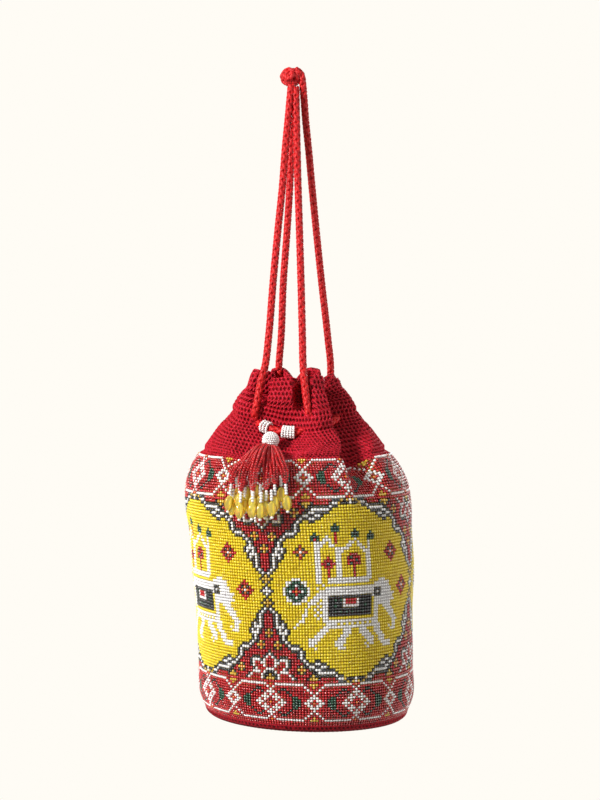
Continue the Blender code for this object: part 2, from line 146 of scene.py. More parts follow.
def bead_stamp(sides: int) -> Stamp:
    """Bead as a dome on a flat, hidden foot.

    Args:
        sides: points round it.

    Returns:
        The stamp.
    """
    turns = full_turn(sides)
    ring = np.stack([np.cos(turns), np.sin(turns), np.zeros(sides)], axis=1)
    low = ring + [0.0, 0.0, BEAD_FOOT]
    high = ring * [CROWN_SPREAD, CROWN_SPREAD, 1.0] + [0.0, 0.0, CROWN_HEIGHT]
    faces = [tuple(reversed(range(sides)))]
    for i in range(sides):
        j = (i + 1) % sides
        faces += [(i, j, sides + j, sides + i), (sides + i, sides + j, 2 * sides)]
    return Stamp(np.vstack([low, high, [[0.0, 0.0, BEAD_TOP]]]), faces)


def ball_stamp(sides: int, bands: int) -> Stamp:
    """Whole round bead, with its poles along its third axis.

    Args:
        sides: points round it.
        bands: rings between its poles.

    Returns:
        The stamp.
    """
    rings = []
    for band in range(1, bands + 1):
        tip = math.pi * band / (bands + 1)
        turns = full_turn(sides, 0.5 * (band % 2))
        flat, height = math.sin(tip), np.full(sides, -math.cos(tip))
        rings.append(np.stack([flat * np.cos(turns), flat * np.sin(turns), height], axis=1))
    points = np.vstack([[[0.0, 0.0, -1.0]], *rings, [[0.0, 0.0, 1.0]]])
    faces = []
    last = 1 + sides * bands
    for i in range(sides):
        j = (i + 1) % sides
        faces += [(0, 1 + j, 1 + i), (last, last - sides + i, last - sides + j)]
        for low in range(1, last - sides, sides):
            faces.append((low + i, low + j, low + sides + j, low + sides + i))
    return Stamp(points, faces)


def mesh_object(
    name: str, points: Array, faces: Faces | Array | None = None,
    loops: Array | None = None, sizes: Array | None = None, slots: Array | None = None,
) -> Piece:
    """Smooth mesh object from arrays, linked to the scene.

    Args:
        name: its name.
        points: its points, in metres.
        faces: its faces as lists of point numbers, or None where loops and sizes are given.
        loops: point numbers of all faces, one after the other.
        sizes: points in each face.
        slots: material slot of each face, or None for one slot.

    Returns:
        The new object.
    """
    if isinstance(faces, np.ndarray):
        loops, sizes = faces.ravel(), np.full(len(faces), faces.shape[1])
    elif faces is not None:
        loops = np.concatenate([np.asarray(face) for face in faces])
        sizes = np.array([len(face) for face in faces])
    mesh = bpy.data.meshes.new(name)
    mesh.vertices.add(len(points))
    mesh.vertices.foreach_set("co", np.asarray(points, np.float32).ravel())
    mesh.loops.add(len(loops))
    mesh.loops.foreach_set("vertex_index", np.asarray(loops, np.int32))
    mesh.polygons.add(len(sizes))
    starts = np.concatenate([[0], np.cumsum(sizes)[:-1]])
    mesh.polygons.foreach_set("loop_start", starts.astype(np.int32))
    if slots is not None:
        mesh.polygons.foreach_set("material_index", np.asarray(slots, np.int32))
    mesh.update(calc_edges=True)
    mesh.shade_smooth()
    made = bpy.data.objects.new(name, mesh)
    bpy.context.scene.collection.objects.link(made)
    return made


def stamped(
    name: str, stamp: Stamp, places: Array, axes: Array, halves: Array, slots: Array | None = None,
) -> Piece:
    """One joined mesh of many copies of a stamp.

    Args:
        name: its name.
        stamp: what is repeated.
        places: middle of each copy.
        axes: for each copy, its three axes as rows.
        halves: for each copy, its half sizes along those axes.
        slots: material slot of each copy.

    Returns:
        The new object.
    """
    count, size = len(places), len(stamp.points)
    local = stamp.points[None, :, :] * halves[:, None, :]
    points = places[:, None, :] + np.einsum("nij,njk->nik", local, axes)
    one_loops = np.concatenate([np.asarray(face) for face in stamp.faces])
    one_sizes = np.array([len(face) for face in stamp.faces])
    loops = (one_loops[None, :] + size * np.arange(count)[:, None]).ravel()
    sizes = np.tile(one_sizes, count)
    face_slots = None if slots is None else np.repeat(slots, len(one_sizes))
    return mesh_object(name, points.reshape(-1, 3), loops=loops, sizes=sizes, slots=face_slots)


def grid_faces(rows: int, columns: int, closed: bool = False) -> Array:
    """Square faces of a grid whose rows are rings.

    Args:
        rows: rows of points.
        columns: points in each row.
        closed: whether the last row joins the first.

    Returns:
        Faces, four point numbers each.
    """
    i, j = np.meshgrid(np.arange(rows if closed else rows - 1), np.arange(columns), indexing="ij")
    low, high, k = i * columns, (i + 1) % rows * columns, (j + 1) % columns
    return np.stack([low + j, low + k, high + k, high + j], -1).reshape(-1, 4)


def add_map(made: Piece, name: str, corners: Array) -> None:
    """Give each face corner its place in a flat pattern, as a map of its own."""
    layer = made.data.uv_layers.new(name=name)
    layer.data.foreach_set("uv", np.asarray(corners, np.float32).ravel())


def add_shade(made: Piece, name: str, values: Array) -> None:
    """Give each point a number that its finish reads as light or dark."""
    layer = made.data.attributes.new(name, "FLOAT", "POINT")
    layer.data.foreach_set("value", np.asarray(values, np.float32).ravel())


# Finishes


class Nodes:
    """Material of nodes round one Principled shader."""

    def __init__(self, name: str, sockets: dict[str, float | tuple]) -> None:
        """Start the material and set the shader's sockets that are the same all over.

        Args:
            name: the material's name.
            sockets: value of each socket, by its name.
        """
        self.material = bpy.data.materials.new(name)
        self.material.use_nodes = True
        self.tree = self.material.node_tree
        self.shader = self.tree.nodes["Principled BSDF"]
        for socket, value in sockets.items():
            self.shader.inputs[socket].default_value = value

    def colour(self, source: Socket, stops: Sequence[tuple[float, Colour]]) -> None:
        """Colour the shader by a value.

        Args:
            source: the value.
            stops: place and linear colour of each stop of the ramp.
        """
        node = self.tree.nodes.new("ShaderNodeValToRGB")
        elements = node.color_ramp.elements
        while len(elements) < len(stops):
            elements.new(0.5)
        for element, (place, colour) in zip(elements, stops):
            element.position = place
            element.color = (*colour, 1.0)
        self.tree.links.new(source, node.inputs["Fac"])
        self.tree.links.new(node.outputs["Color"], self.shader.inputs["Base Color"])

    def relief(self) -> Socket:
        """Number that the mesh carries for each of its points.

        Returns:
            The number's socket.
        """
        node = self.tree.nodes.new("ShaderNodeAttribute")
        node.attribute_name = "relief"
        return node.outputs["Fac"]

    def noise(self, scale: float, detail: float, stretch: Place = (1.0, 1.0, 1.0)) -> Socket:
        """Noise in the object's own space.

        Args:
            scale: how fine it is.
            detail: how many finer layers it has.
            stretch: scale along each axis.

        Returns:
            Its socket.
        """
        place = self.tree.nodes.new("ShaderNodeTexCoord")
        mapping = self.tree.nodes.new("ShaderNodeMapping")
        mapping.inputs["Scale"].default_value = stretch
        cloud = self.tree.nodes.new("ShaderNodeTexNoise")
        cloud.inputs["Scale"].default_value = scale
        cloud.inputs["Detail"].default_value = detail
        self.tree.links.new(place.outputs["Object"], mapping.inputs["Vector"])
        self.tree.links.new(mapping.outputs["Vector"], cloud.inputs["Vector"])
        return cloud.outputs["Fac"]

    def bump(self, height: Socket, depth: float, strength: float) -> None:
        """Bump the surface by a height.

        Args:
            height: the height's socket.
            depth: depth of the full height.
            strength: share of it that shows.
        """
        node = self.tree.nodes.new("ShaderNodeBump")
        node.inputs["Distance"].default_value = depth
        node.inputs["Strength"].default_value = strength
        self.tree.links.new(height, node.inputs["Height"])
        self.tree.links.new(node.outputs["Normal"], self.shader.inputs["Normal"])


class Sum:
    """Number that a material's nodes work out, written as arithmetic."""

    def __init__(self, tree: bpy.types.NodeTree, socket: Socket) -> None:
        """Start from a socket of the material's tree."""
        self.tree, self.socket = tree, socket

    def worked(self, operation: str, *others: "Sum | float") -> "Sum":
        """This number and others through one Math node.

        Args:
            operation: what the node does.
            others: further numbers or results.

        Returns:
            The node's result.
        """
        node = self.tree.nodes.new("ShaderNodeMath")
        node.operation = operation
        self.tree.links.new(self.socket, node.inputs[0])
        for slot, other in enumerate(others, start=1):
            if isinstance(other, Sum):
                self.tree.links.new(other.socket, node.inputs[slot])
            else:
                node.inputs[slot].default_value = other
        return Sum(self.tree, node.outputs[0])

    def __add__(self, other: "Sum | float") -> "Sum":
        """Sum."""
        return self.worked("ADD", other)

    def __sub__(self, other: "Sum | float") -> "Sum":
        """Difference."""
        return self.worked("SUBTRACT", other)

    def __mul__(self, other: "Sum | float") -> "Sum":
        """Product."""
        return self.worked("MULTIPLY", other)

    def __truediv__(self, other: "Sum | float") -> "Sum":
        """Quotient."""
        return self.worked("DIVIDE", other)


@dataclass(frozen=True)
class GlassBeads:
    """Glass seed beads: small differences from bead to bead, and a hard gloss.

    Attributes:
        name: the finish's name.
        dark: linear colour of the darkest beads.
        light: linear colour of the lightest beads.
        roughness: how dull the glass is.
        coat: strength of its outer gloss.
    """

    name: str
    dark: Colour
    light: Colour
    roughness: float = 0.22
    coat: float = 0.35

    def material(self) -> Material:
        """The finish as a material.

        Returns:
            The material.
        """
        nodes = Nodes(
            self.name, {"Roughness": self.roughness, "Coat Weight": self.coat, "Coat Roughness": 0.12}
        )
        island = nodes.tree.nodes.new("ShaderNodeNewGeometry").outputs["Random Per Island"]
        nodes.colour(island, [(0.0, self.dark), (0.55, self.light), (1.0, self.light)])
        nodes.bump(nodes.noise(1400.0, 2.0), 0.05 * MM, 0.25)
        return nodes.material


@dataclass(frozen=True)
class Crochet:
    """Matt cotton crochet: rows of stitches round holes painted dark as shade, each row half a stitch on.

    Attributes:
        name: the finish's name.
        hole: linear colour painted in the holes as their shade.
        yarn: linear colour of the yarn.
        light: linear colour painted on the crowns of the loops as a highlight.
        depth: depth of the holes in the shading.
        row_wobble: unevenness of the rows, in rows.
        stitch_wobble: unevenness along a row, in stitches.
        ply: how much the yarn's twist shows.
        fuzz: how much its fibres show.
    """

    name: str
    hole: Colour
    yarn: Colour
    light: Colour
    depth: float = 0.7 * MM
    row_wobble: float = 0.7
    stitch_wobble: float = 0.9
    ply: float = 0.13
    fuzz: float = 0.55

    def material(self) -> Material:
        """The finish as a material.

        Returns:
            The material.
        """
        nodes = Nodes(self.name, {"Roughness": 0.7, "Specular IOR Level": 0.14})
        tree = nodes.tree
        place = tree.nodes.new("ShaderNodeUVMap")
        place.uv_map = "stitches"
        parts = tree.nodes.new("ShaderNodeSeparateXYZ")
        tree.links.new(place.outputs["UV"], parts.inputs[0])
        across, up = Sum(tree, parts.outputs[0]), Sum(tree, parts.outputs[1])
        up = up + (Sum(tree, nodes.noise(260.0, 2.0)) - 0.5) * self.row_wobble
        across = across + (Sum(tree, nodes.noise(330.0, 2.0)) - 0.5) * self.stitch_wobble
        row = up.worked("FLOOR")
        high = (up - row - 0.5) / CrochetStitches.hole_high
        shifted = across + row.worked("FLOORED_MODULO", 2.0) * 0.5 + (up - row) * CrochetStitches.slant
        wide = (shifted.worked("FRACT") - 0.5) / CrochetStitches.hole_wide
        far = high * high + wide * wide
        rise = (far * CrochetStitches.steepness).worked("MINIMUM", 1.0)
        ply = ((shifted * 2.0 + up * 2.0) * TAU).worked("SINE") * self.ply
        fuzz = (Sum(tree, nodes.noise(1100.0, 3.0)) - 0.5) * self.fuzz
        look = (rise * 0.72 + ply + fuzz).socket
        # Ramp: painted shade in the holes, the yarn's own colour, a painted highlight on the highest crowns
        nodes.colour(look, [(0.02, self.hole), (0.5, self.yarn), (0.72, self.yarn), (1.0, self.light)])
        nodes.bump(look, self.depth, 0.9)
        return nodes.material


@dataclass(frozen=True)
class CordYarn:
    """Satin yarn of the braided cords, streaked at random along its fibres, with painted shade on the darker
    ones and a painted sheen on the brighter ones.

    Attributes:
        name: the finish's name.
        dark: linear colour of its darker fibres, a painted shade.
        light: linear colour of its brighter fibres, a painted sheen.
    """

    name: str
    dark: Colour
    light: Colour

    def material(self) -> Material:
        """The finish as a material.

        Returns:
            The material.
        """
        nodes = Nodes(self.name, {"Roughness": 0.45, "Specular IOR Level": 0.22})
        # Random streaks along the fibres, from painted shade to painted sheen
        nodes.colour(nodes.noise(900.0, 1.0, (1.0, 1.0, 0.25)), [(0.2, self.dark), (0.6, self.light)])
        nodes.bump(nodes.noise(2600.0, 2.0, (1.0, 1.0, 0.3)), 0.1 * MM, 0.3)
        return nodes.material


@dataclass(frozen=True)
class TintedGround:
    """Cloth under the beads, tinted by the beads that cover it."""

    name: str = "bead_ground"
    tints: tuple = (
        (0.0, linear(14, 6, 10)), (0.33, linear(92, 2, 12)), (0.67, linear(222, 190, 8)),
        (1.0, linear(226, 220, 226)),
    )

    def material(self) -> Material:
        """The finish as a material.

        Returns:
            The material.
        """
        nodes = Nodes(self.name, {"Roughness": 0.7})
        nodes.colour(nodes.relief(), self.tints)
        nodes.bump(nodes.noise(2400.0, 2.0), 0.2 * MM, 0.5)
        return nodes.material


@dataclass(frozen=True)
class PetalGlass:
    """Clear yellow petal, painted pale in its middle as a highlight and amber towards its side edges as
    shade.
    """

    name: str = "petal_glass"
    # Tints by relief across the petal: painted highlight in the middle, painted shade at the side edges
    tints: tuple = ((0.0, linear(255, 246, 130)), (0.5, linear(255, 234, 84)), (1.0, linear(246, 150, 40)))

    def material(self) -> Material:
        """The finish as a material.

        Returns:
            The material.
        """
        nodes = Nodes(self.name, {
            "Roughness": 0.1, "Transmission Weight": 0.7, "IOR": 1.15, "Coat Weight": 0.6,
            "Coat Roughness": 0.05,
        })
        nodes.colour(nodes.relief(), self.tints)
        nodes.bump(nodes.noise(500.0, 1.0), 0.1 * MM, 0.2)
        return nodes.material


class Bead(Enum):
    """Bead colours of the pattern, in the order of the material slots."""

    RED = 0
    YELLOW = 1
    WHITE = 2
    BLACK = 3
    GREEN = 4
    GOLD = 5
    ORANGE = 6
    PINE = 7


BEAD_FINISHES = {
    Bead.RED: GlassBeads("bead_red", linear(140, 3, 12), linear(198, 14, 24), 0.25, 0.35),
    Bead.YELLOW: GlassBeads("bead_yellow", linear(232, 200, 6), linear(246, 220, 20), 0.3, 0.25),
    Bead.WHITE: GlassBeads("bead_white", linear(244, 240, 238), linear(254, 252, 250), 0.2, 0.5),
    Bead.BLACK: GlassBeads("bead_black", linear(4, 3, 5), linear(14, 10, 14), 0.16, 0.6),
    Bead.GREEN: GlassBeads("bead_green", linear(2, 46, 30), linear(12, 80, 50), 0.2, 0.7),
    Bead.GOLD: GlassBeads("bead_gold", linear(206, 156, 20), linear(232, 190, 60), 0.22, 0.7),
    Bead.ORANGE: GlassBeads("bead_orange", linear(206, 80, 12), linear(236, 126, 30), 0.24, 0.6),
    Bead.PINE: GlassBeads("bead_pine", linear(6, 26, 18), linear(18, 50, 34), 0.18, 0.6),
}
# Crochet colours: painted shade in the holes, the yarn, a painted highlight on the crowns of the loops
COLLAR_CROCHET = Crochet("collar_crochet", linear(76, 0, 10), linear(176, 3, 24), linear(250, 70, 100))
BASE_CROCHET = Crochet("base_crochet", linear(52, 0, 6), linear(150, 4, 22), linear(226, 50, 70))
# Cord colours: painted shade and a painted sheen on its fibres
CORD_YARN = CordYarn("cord_yarn", linear(150, 4, 14), linear(216, 36, 38))


# The bag's wall, which the beads and the collar follow


@dataclass
class Wall:
    """Wall of the bag, from the beaded bottom edge up to the ruffle.

    Lengths are in metres, as in the solid model, and the tables hold shares of them. A level is 0 to
    1 up the beads, 1 to 2 up the shoulder and 2 to 3 up the ruffle. Fields named levels say between
    which levels something sets in.
    """

    hang_drop: float = 481.6 * MM
    base_height: float = 5.2 * MM
    beaded_height: float = 190.1 * MM
    shoulder_height: float = 31.0 * MM
    ruffle_height: float = 29.0 * MM
    body_radius: float = 80.2 * MM
    neck_radius: float = 45.5 * MM
    base_sway: float = 10.9 * MM
    neck_sway: float = 2.0 * MM
    front_drop: float = 14.5 * MM
    drop_sharpness: float = 0.2
    ruffle_dip: float = 10.0 * MM
    ruffle_side_dip: float = 6.0 * MM
    ruffle_levelling: float = 0.80
    valley_sag: float = 9.0 * MM
    ear_lift: float = 1.35
    ear_azimuth: float = -62.0
    ear_width: float = 14.0
    ring_radius: float = 34.0 * MM
    press_gap: float = 1.3 * MM
    foot_tilt: float = 1.9 * MM
    deepest_pleat: float = 0.44
    deepest_edge_pleat: float = 0.20
    pressing: list[tuple[Array, float]] = field(default_factory=list)
    # level, spread, gather, sway
    sections: tuple = (
        (0.000, 0.850, 1.00, 1.00), (0.045, 0.950, 1.00, 1.00), (0.168, 0.974, 1.00, 0.94),
        (0.285, 0.983, 1.00, 0.88), (0.408, 1.000, 1.00, 0.81), (0.552, 1.058, 1.00, 0.70),
        (0.696, 1.062, 1.00, 0.50), (0.815, 1.098, 1.00, 0.28), (0.863, 1.075, 1.00, 0.22),
        (0.911, 1.012, 1.00, 0.14), (0.957, 0.895, 1.00, 0.06), (1.000, 0.735, 1.00, 0.02),
        (1.190, 0.597, 1.00, 0.00), (1.420, 0.455, 1.00, 0.00), (1.620, 0.335, 1.00, 0.00),
        (1.760, 0.235, 1.00, 0.00), (1.890, 0.110, 1.00, 0.00), (2.000, 0.000, 1.00, 0.00),
        (2.140, 0.000, 1.01, 0.00), (2.360, 0.000, 0.94, 0.00), (2.670, 0.000, 0.82, 0.00),
        (3.000, 0.000, 0.66, 0.00),
    )
    # azimuth, left, right, narrow, lean, edge, shoulder, neck, ruffle
    pleats: tuple = (
        (-20.0, 50.0, 45.0, 0.50, 0.0, 0.04, 0.34, 0.41, 0.10),
        (-45.0, 19.0, 14.0, 0.60, 0.0, 0.00, 0.00, 0.10, 0.40),
        (8.0, 14.0, 15.0, 0.60, 0.0, 0.00, 0.00, 0.10, 0.40),
        (47.0, 10.0, 32.0, 0.66, -13.0, 0.20, 0.36, 0.44, 0.42),
        (99.0, 17.0, 16.0, 0.60, 0.0, 0.10, 0.28, 0.44, 0.44),
        (134.0, 14.0, 14.0, 0.60, 0.0, 0.08, 0.26, 0.42, 0.42),
        (180.0, 22.0, 20.0, 0.60, 0.0, 0.10, 0.28, 0.44, 0.44),
        (226.0, 18.0, 18.0, 0.60, 0.0, 0.08, 0.26, 0.42, 0.42),
        (260.0, 14.0, 14.0, 0.60, 0.0, 0.10, 0.28, 0.42, 0.42),
    )
    pleat_levels: tuple = (0.80, 1.00, 1.60, 2.00, 2.20, 2.60)
    pleat_round: float = 1.7
    closing_levels: tuple = (0.9, 1.9)
    drop_levels: tuple = (0.87, 1.9)
    ruffle_levels: tuple = (2.0, 3.0)
    sag_levels: tuple = (0.8, 1.0, 1.7)
    dip_levels: tuple = (2.3, 3.0)
    foot_levels: tuple = (0.0, 0.35)
    # Steps round and up between the points that the cloth's directions are read from
    azimuth_step: float = 0.4
    level_step: float = 0.02

    def depth(self, azimuth: Array, level: Array) -> Array:
        """How far the cloth is folded in.

        Args:
            azimuth: places round the bag.
            level: places up the wall, of the same shape.

        Returns:
            Shares of the wall's radius.
        """
        deepest = np.zeros_like(azimuth)
        for middle, left, right, narrow, lean, edge, shoulder, neck, ruffle in self.pleats:
            depth = np.interp(level, self.pleat_levels, (0.0, edge, shoulder, neck, neck, ruffle))
            closing = smoothstep(level, *self.closing_levels)
            width = narrow + (1.0 - narrow) * closing
            away = half_turned(azimuth - middle - lean * (1.0 - closing))
            half = np.where(away < 0.0, left, right) * width
            fall = np.minimum(np.abs(away) / half, 1.0) ** self.pleat_round
            deepest = np.maximum(deepest, depth * np.cos(0.5 * math.pi * fall) ** 2)
        return deepest

    def neck_drop(self, azimuth: Array) -> Array:
        """How far the neck hangs below its middle height."""
        facing = np.cos(np.radians(azimuth))
        return self.front_drop * mixed(facing, facing * facing, self.drop_sharpness)

    def level_height(self, level: Array) -> Array:
        """Height of a level before pleats and drop.

        Args:
            level: places up the wall.

        Returns:
            Heights, in metres.
        """
        base = -self.hang_drop + self.base_height
        beads, shoulder = np.clip(level, 0.0, 1.0), np.clip(level - 1.0, 0.0, 1.0)
        up = self.beaded_height * beads + self.shoulder_height * shoulder
        return base + up + self.ruffle_height * np.maximum(level - 2.0, 0.0)

    def unfolded_radius(self, spread: Array | float, gather: Array | float = 1.0) -> Array | float:
        """Radius before pleats, from the neck's radius and the body's."""
        return self.neck_radius * gather + (self.body_radius - self.neck_radius) * spread

    def ridge_lengths(self, levels: Array) -> Array:
        """Length up a ridge of the cloth from the first of some levels to each of them.

        Args:
            levels: places up the wall, rising.

        Returns:
            Lengths, in metres.
        """
        rows = smooth_rows(self.sections, levels)
        radius = self.unfolded_radius(rows[:, 1], rows[:, 2])
        steps = np.hypot(np.diff(radius), np.diff(self.level_height(levels)))
        return np.concatenate([[0.0], np.cumsum(steps)])

    @property
    def cinch_height(self) -> float:
        """Height of the gather in the middle of the neck."""
        return float(self.level_height(np.array(2.0)))

    def bare(self, azimuth: Array, level: Array) -> Array:
        """Points on the outer face of the wall.

        Args:
            azimuth: places round the bag.
            level: places up the wall, of the same shape.

        Returns:
            Points, one row each.
        """
        spread, gather, sway = smooth_rows(self.sections, level)[:, 1:].T
        depth = self.depth(azimuth, level)
        radius = self.unfolded_radius(spread, gather) * (1.0 - depth)
        turn = np.radians(azimuth)
        levelling = 1.0 - self.ruffle_levelling * smoothstep(level, *self.ruffle_levels)
        drop = self.neck_drop(azimuth) * smoothstep(level, *self.drop_levels) * levelling
        height = self.level_height(level) - drop
        sag = smoothstep(level, *self.sag_levels[:2]) * (1.0 - smoothstep(level, *self.sag_levels[1:]))
        height = height - self.valley_sag * sag * np.minimum(depth / self.deepest_edge_pleat, 1.0)
        dip = self.ruffle_dip * depth / self.deepest_pleat + self.ruffle_side_dip * np.sin(turn) ** 2
        ear = np.exp(-((half_turned(azimuth - self.ear_azimuth) / self.ear_width) ** 2))
        height = height - dip * (1.0 - self.ear_lift * ear) * smoothstep(level, *self.dip_levels)
        height = height - self.foot_drop(turn) * (1.0 - smoothstep(level, *self.foot_levels))
        middle = self.neck_sway + (self.base_sway - self.neck_sway) * sway
        return np.stack([middle + radius * np.sin(turn), -radius * np.cos(turn), height], axis=1)

    def foot_drop(self, turn: Array) -> Array:
        """How much lower the bottom hangs on the right than in its middle."""
        return self.foot_tilt * np.sin(turn)

    def places(self, azimuth: Array, level: Array, out: Array | float) -> tuple[Array, Array]:
        """Points off the wall, with the axes of the cloth there.

        Args:
            azimuth: places round the bag.
            level: places up the wall.
            out: distance outward from the outer face, negative inside it.

        Returns:
            The points, and for each the directions across, up and out as rows.
        """
        azimuth, level = (np.array(v, float).ravel() for v in np.broadcast_arrays(azimuth, level))
        left, right = azimuth - self.azimuth_step, azimuth + self.azimuth_step
        low, high = np.maximum(level - self.level_step, 0.0), np.minimum(level + self.level_step, 3.0)
        across = unit(self.bare(right, level) - self.bare(left, level))
        upward = unit(self.bare(azimuth, high) - self.bare(azimuth, low))
        outward = unit(np.cross(across, upward))
        upward = np.cross(outward, across)
        out = np.broadcast_to(out, azimuth.shape)
        points = self.bare(azimuth, level) + outward * out[:, None]
        for middle, radius in self.pressing:
            away = points - middle
            far = np.linalg.norm(away, axis=1)
            reach = radius + self.press_gap - out
            points = np.where((far < reach)[:, None], middle + unit(away) * reach[:, None], points)
        return points, np.stack([across, upward, outward], axis=1)

    def ring_point(self, azimuth: Array) -> Array:
        """Points on the middle line of the ring of cord.

        Args:
            azimuth: places round the ring.

        Returns:
            The points.
        """
        turn = np.radians(azimuth)
        return np.stack(
            [
                self.neck_sway + self.ring_radius * np.sin(turn),
                -self.ring_radius * np.cos(turn),
                self.cinch_height - self.neck_drop(azimuth),
            ],
            axis=-1,
        )


# The bead chart

# Letters of the charts
LETTERS = {
    ".": Bead.RED, "w": Bead.WHITE, "k": Bead.BLACK, "g": Bead.GREEN, "y": Bead.GOLD, "o": Bead.ORANGE,
    "d": Bead.PINE,
}


@dataclass
class BeadChart:
    """Pattern of one quarter of the bag: a medallion between two borders.

    Columns count from the middle of the medallion, rows from the bottom edge. The medallion's
    outline and the borders are charted for a quarter of the repeat and mirrored. The elephant
    with its howdah is drawn in strokes.
    """

    columns: int = 60
    plain_rows: int = 2
    border_rows: int = 15
    field_rows: int = 61
    half_field: int = 30
    border_repeat: int = 30
    # Border, from its outer line to its middle row and from a large diamond to a small one
    border: tuple = (
        "o.wwwwwwwwww..yy",
        ".w..........w..y",
        "w...dd.......w..",
        "ww.d..d.......w.",
        "w.w....d.......w",
        ".www....gg....ww",
        "..w.w...ggg..ww.",
        "o..www..ggg.ww.o",
    )
    # Half a lotus, standing on the border's line: first row two beads away from that line
    lotus: tuple = (
        "yykw....wk",
        "ykkw...wk.",
        "kkw.www...",
        "ww...wk...",
        "..w...wk..",
        "..ww..wk..",
        "..wkwwwk..",
        ".wk.kkk...",
        "wk........",
        "k.........",
    )
    # Where four corners meet: rows away from the middle row, columns from the junction
    junction: tuple = ("wwk", "wk.", "k..", "yk.", "yyk", "yk.", "kwk", ".kwk", "..kwk")
    # Bud between two lotuses, from the same row, with its first column
    bud: tuple = ("kyyyk", ".kyk.", "..k..")
    bud_column: int = 13
    # Middles of the small blossoms: column from the junction, row away from the middle row
    blossoms: tuple = ((0, 14), (3, 18), (11, 26))
    # Scalloped edge of the medallion: column from the junction, row away from the middle row
    scallop: tuple = (
        (3, 8), (3, 9), (3, 10), (3, 11), (3, 12), (4, 12), (5, 12), (5, 11), (4, 13), (4, 14),
        (5, 14), (6, 14), (6, 13), (5, 15), (5, 16), (6, 17), (7, 18), (8, 19), (9, 19), (10, 19),
        (11, 20), (11, 21), (11, 22), (12, 23), (13, 24), (14, 25), (15, 25), (16, 24), (17, 24),
        (18, 25), (19, 25), (16, 26), (17, 26), (17, 27), (18, 27), (19, 27), (20, 27), (21, 27),
        (22, 27), (23, 28), (24, 29), (25, 29),
    )
    apex: tuple = (
        (26, 30, "k"), (26, 29, "y"), (27, 30, "y"), (28, 30, "k"), (28, 29, "k"), (29, 30, "y"),
        (30, 30, "w"), (30, 29, "w"), (29, 29, "k"), (27, 29, "k"),
    )

    @property
    def rows(self) -> int:
        """Rows from the bottom edge to the top edge."""
        return self.plain_rows + 2 * self.border_rows + self.field_rows

    @property
    def middle_row(self) -> int:
        """Row of the medallion's middle."""
        return self.plain_rows + self.border_rows + self.half_field

    def chart(self) -> Array:
        """The whole chart.

        Returns:
            Bead numbers, rows by columns, with the medallion's middle at column 0.
        """
        quarter = self.quarter()
        chart = np.full((self.rows, self.columns), Bead.RED.value)
        low = self.plain_rows + self.border_rows
        for column in range(self.columns):
            from_junction = abs(column - self.columns // 2)
            for row in range(self.field_rows):
                chart[low + row, column] = quarter[abs(row - self.half_field), from_junction]
            repeat = from_junction % self.border_repeat
            across = min(repeat, self.border_repeat - repeat)
            for row in range(self.border_rows):
                letter = self.border[min(row, self.border_rows - 1 - row)][across]
                chart[[self.plain_rows + row, self.rows - 1 - row], column] = LETTERS[letter].value
        Figures(chart, self.middle_row).draw()
        return chart

    def quarter(self) -> Array:
        """A quarter of the field: rows away from its middle, columns away from the junction.

        Returns:
            Bead numbers.
        """
        quarter = np.full((self.half_field + 1, self.columns // 2 + 1), Bead.RED.value)
        self.draw_letters(quarter, self.junction, 0, 0, 1)
        edge = np.zeros(quarter.shape, bool)
        for column, row in self.scallop:
            quarter[row, column] = Bead.WHITE.value
            edge[row, column] = True
        for column, row, letter in self.apex:
            quarter[row, column] = LETTERS[letter].value
        drawn = quarter != Bead.RED.value
        quarter[self.filled(drawn, (0, self.columns // 2))] = Bead.YELLOW.value
        quarter[self.neighbours(edge) & ~drawn] = Bead.BLACK.value
        self.draw_letters(quarter, self.lotus, self.half_field - 1, 0, -1)
        self.draw_letters(quarter, self.bud, self.half_field - 1, self.bud_column, -1)
        for column, row in self.blossoms:
            self.draw_blossom(quarter, column, row)
        return quarter

    @staticmethod
    def draw_letters(quarter: Array, table: Sequence[str], row: int, column: int, step: int) -> None:
        """Draw rows of letters from a place on, each row a step from the one before.

        Args:
            quarter: where they are drawn.
            table: the rows.
            row: first row.
            column: first column.
            step: rows from one line to the next.
        """
        for i, letters in enumerate(table):
            for j, letter in enumerate(letters):
                if letter != ".":
                    quarter[row + step * i, column + j] = LETTERS[letter].value

    @staticmethod
    def neighbours(cells: Array) -> Array:
        """Cells that share a side with marked ones.

        Args:
            cells: the marked cells.

        Returns:
            Their neighbours.
        """
        near = np.zeros_like(cells)
        near[1:] |= cells[:-1]
        near[:-1] |= cells[1:]
        near[:, 1:] |= cells[:, :-1]
        near[:, :-1] |= cells[:, 1:]
        return near

    def filled(self, walls: Array, start: tuple[int, int]) -> Array:
        """Cells reached from a start without crossing a wall.

        Args:
            walls: cells that stop the fill.
            start: where it starts.

        Returns:
            The cells reached.
        """
        reached = np.zeros_like(walls)
        reached[start] = True
        while True:
            grown = (reached | self.neighbours(reached)) & ~walls
            if (grown == reached).all():
                return reached
            reached = grown

    @staticmethod
    def draw_blossom(quarter: Array, column: int, row: int) -> None:
        """Gold blossom of four petals round an orange middle, with black corners.

        Args:
            quarter: where it is drawn.
            column: column of its middle.
            row: row of its middle.
        """
        by_distance = (Bead.ORANGE, Bead.GOLD, Bead.BLACK)
        for across in (-1, 0, 1):
            for up in (-1, 0, 1):
                quarter[row + up, abs(column + across)] = by_distance[abs(across) + abs(up)].value


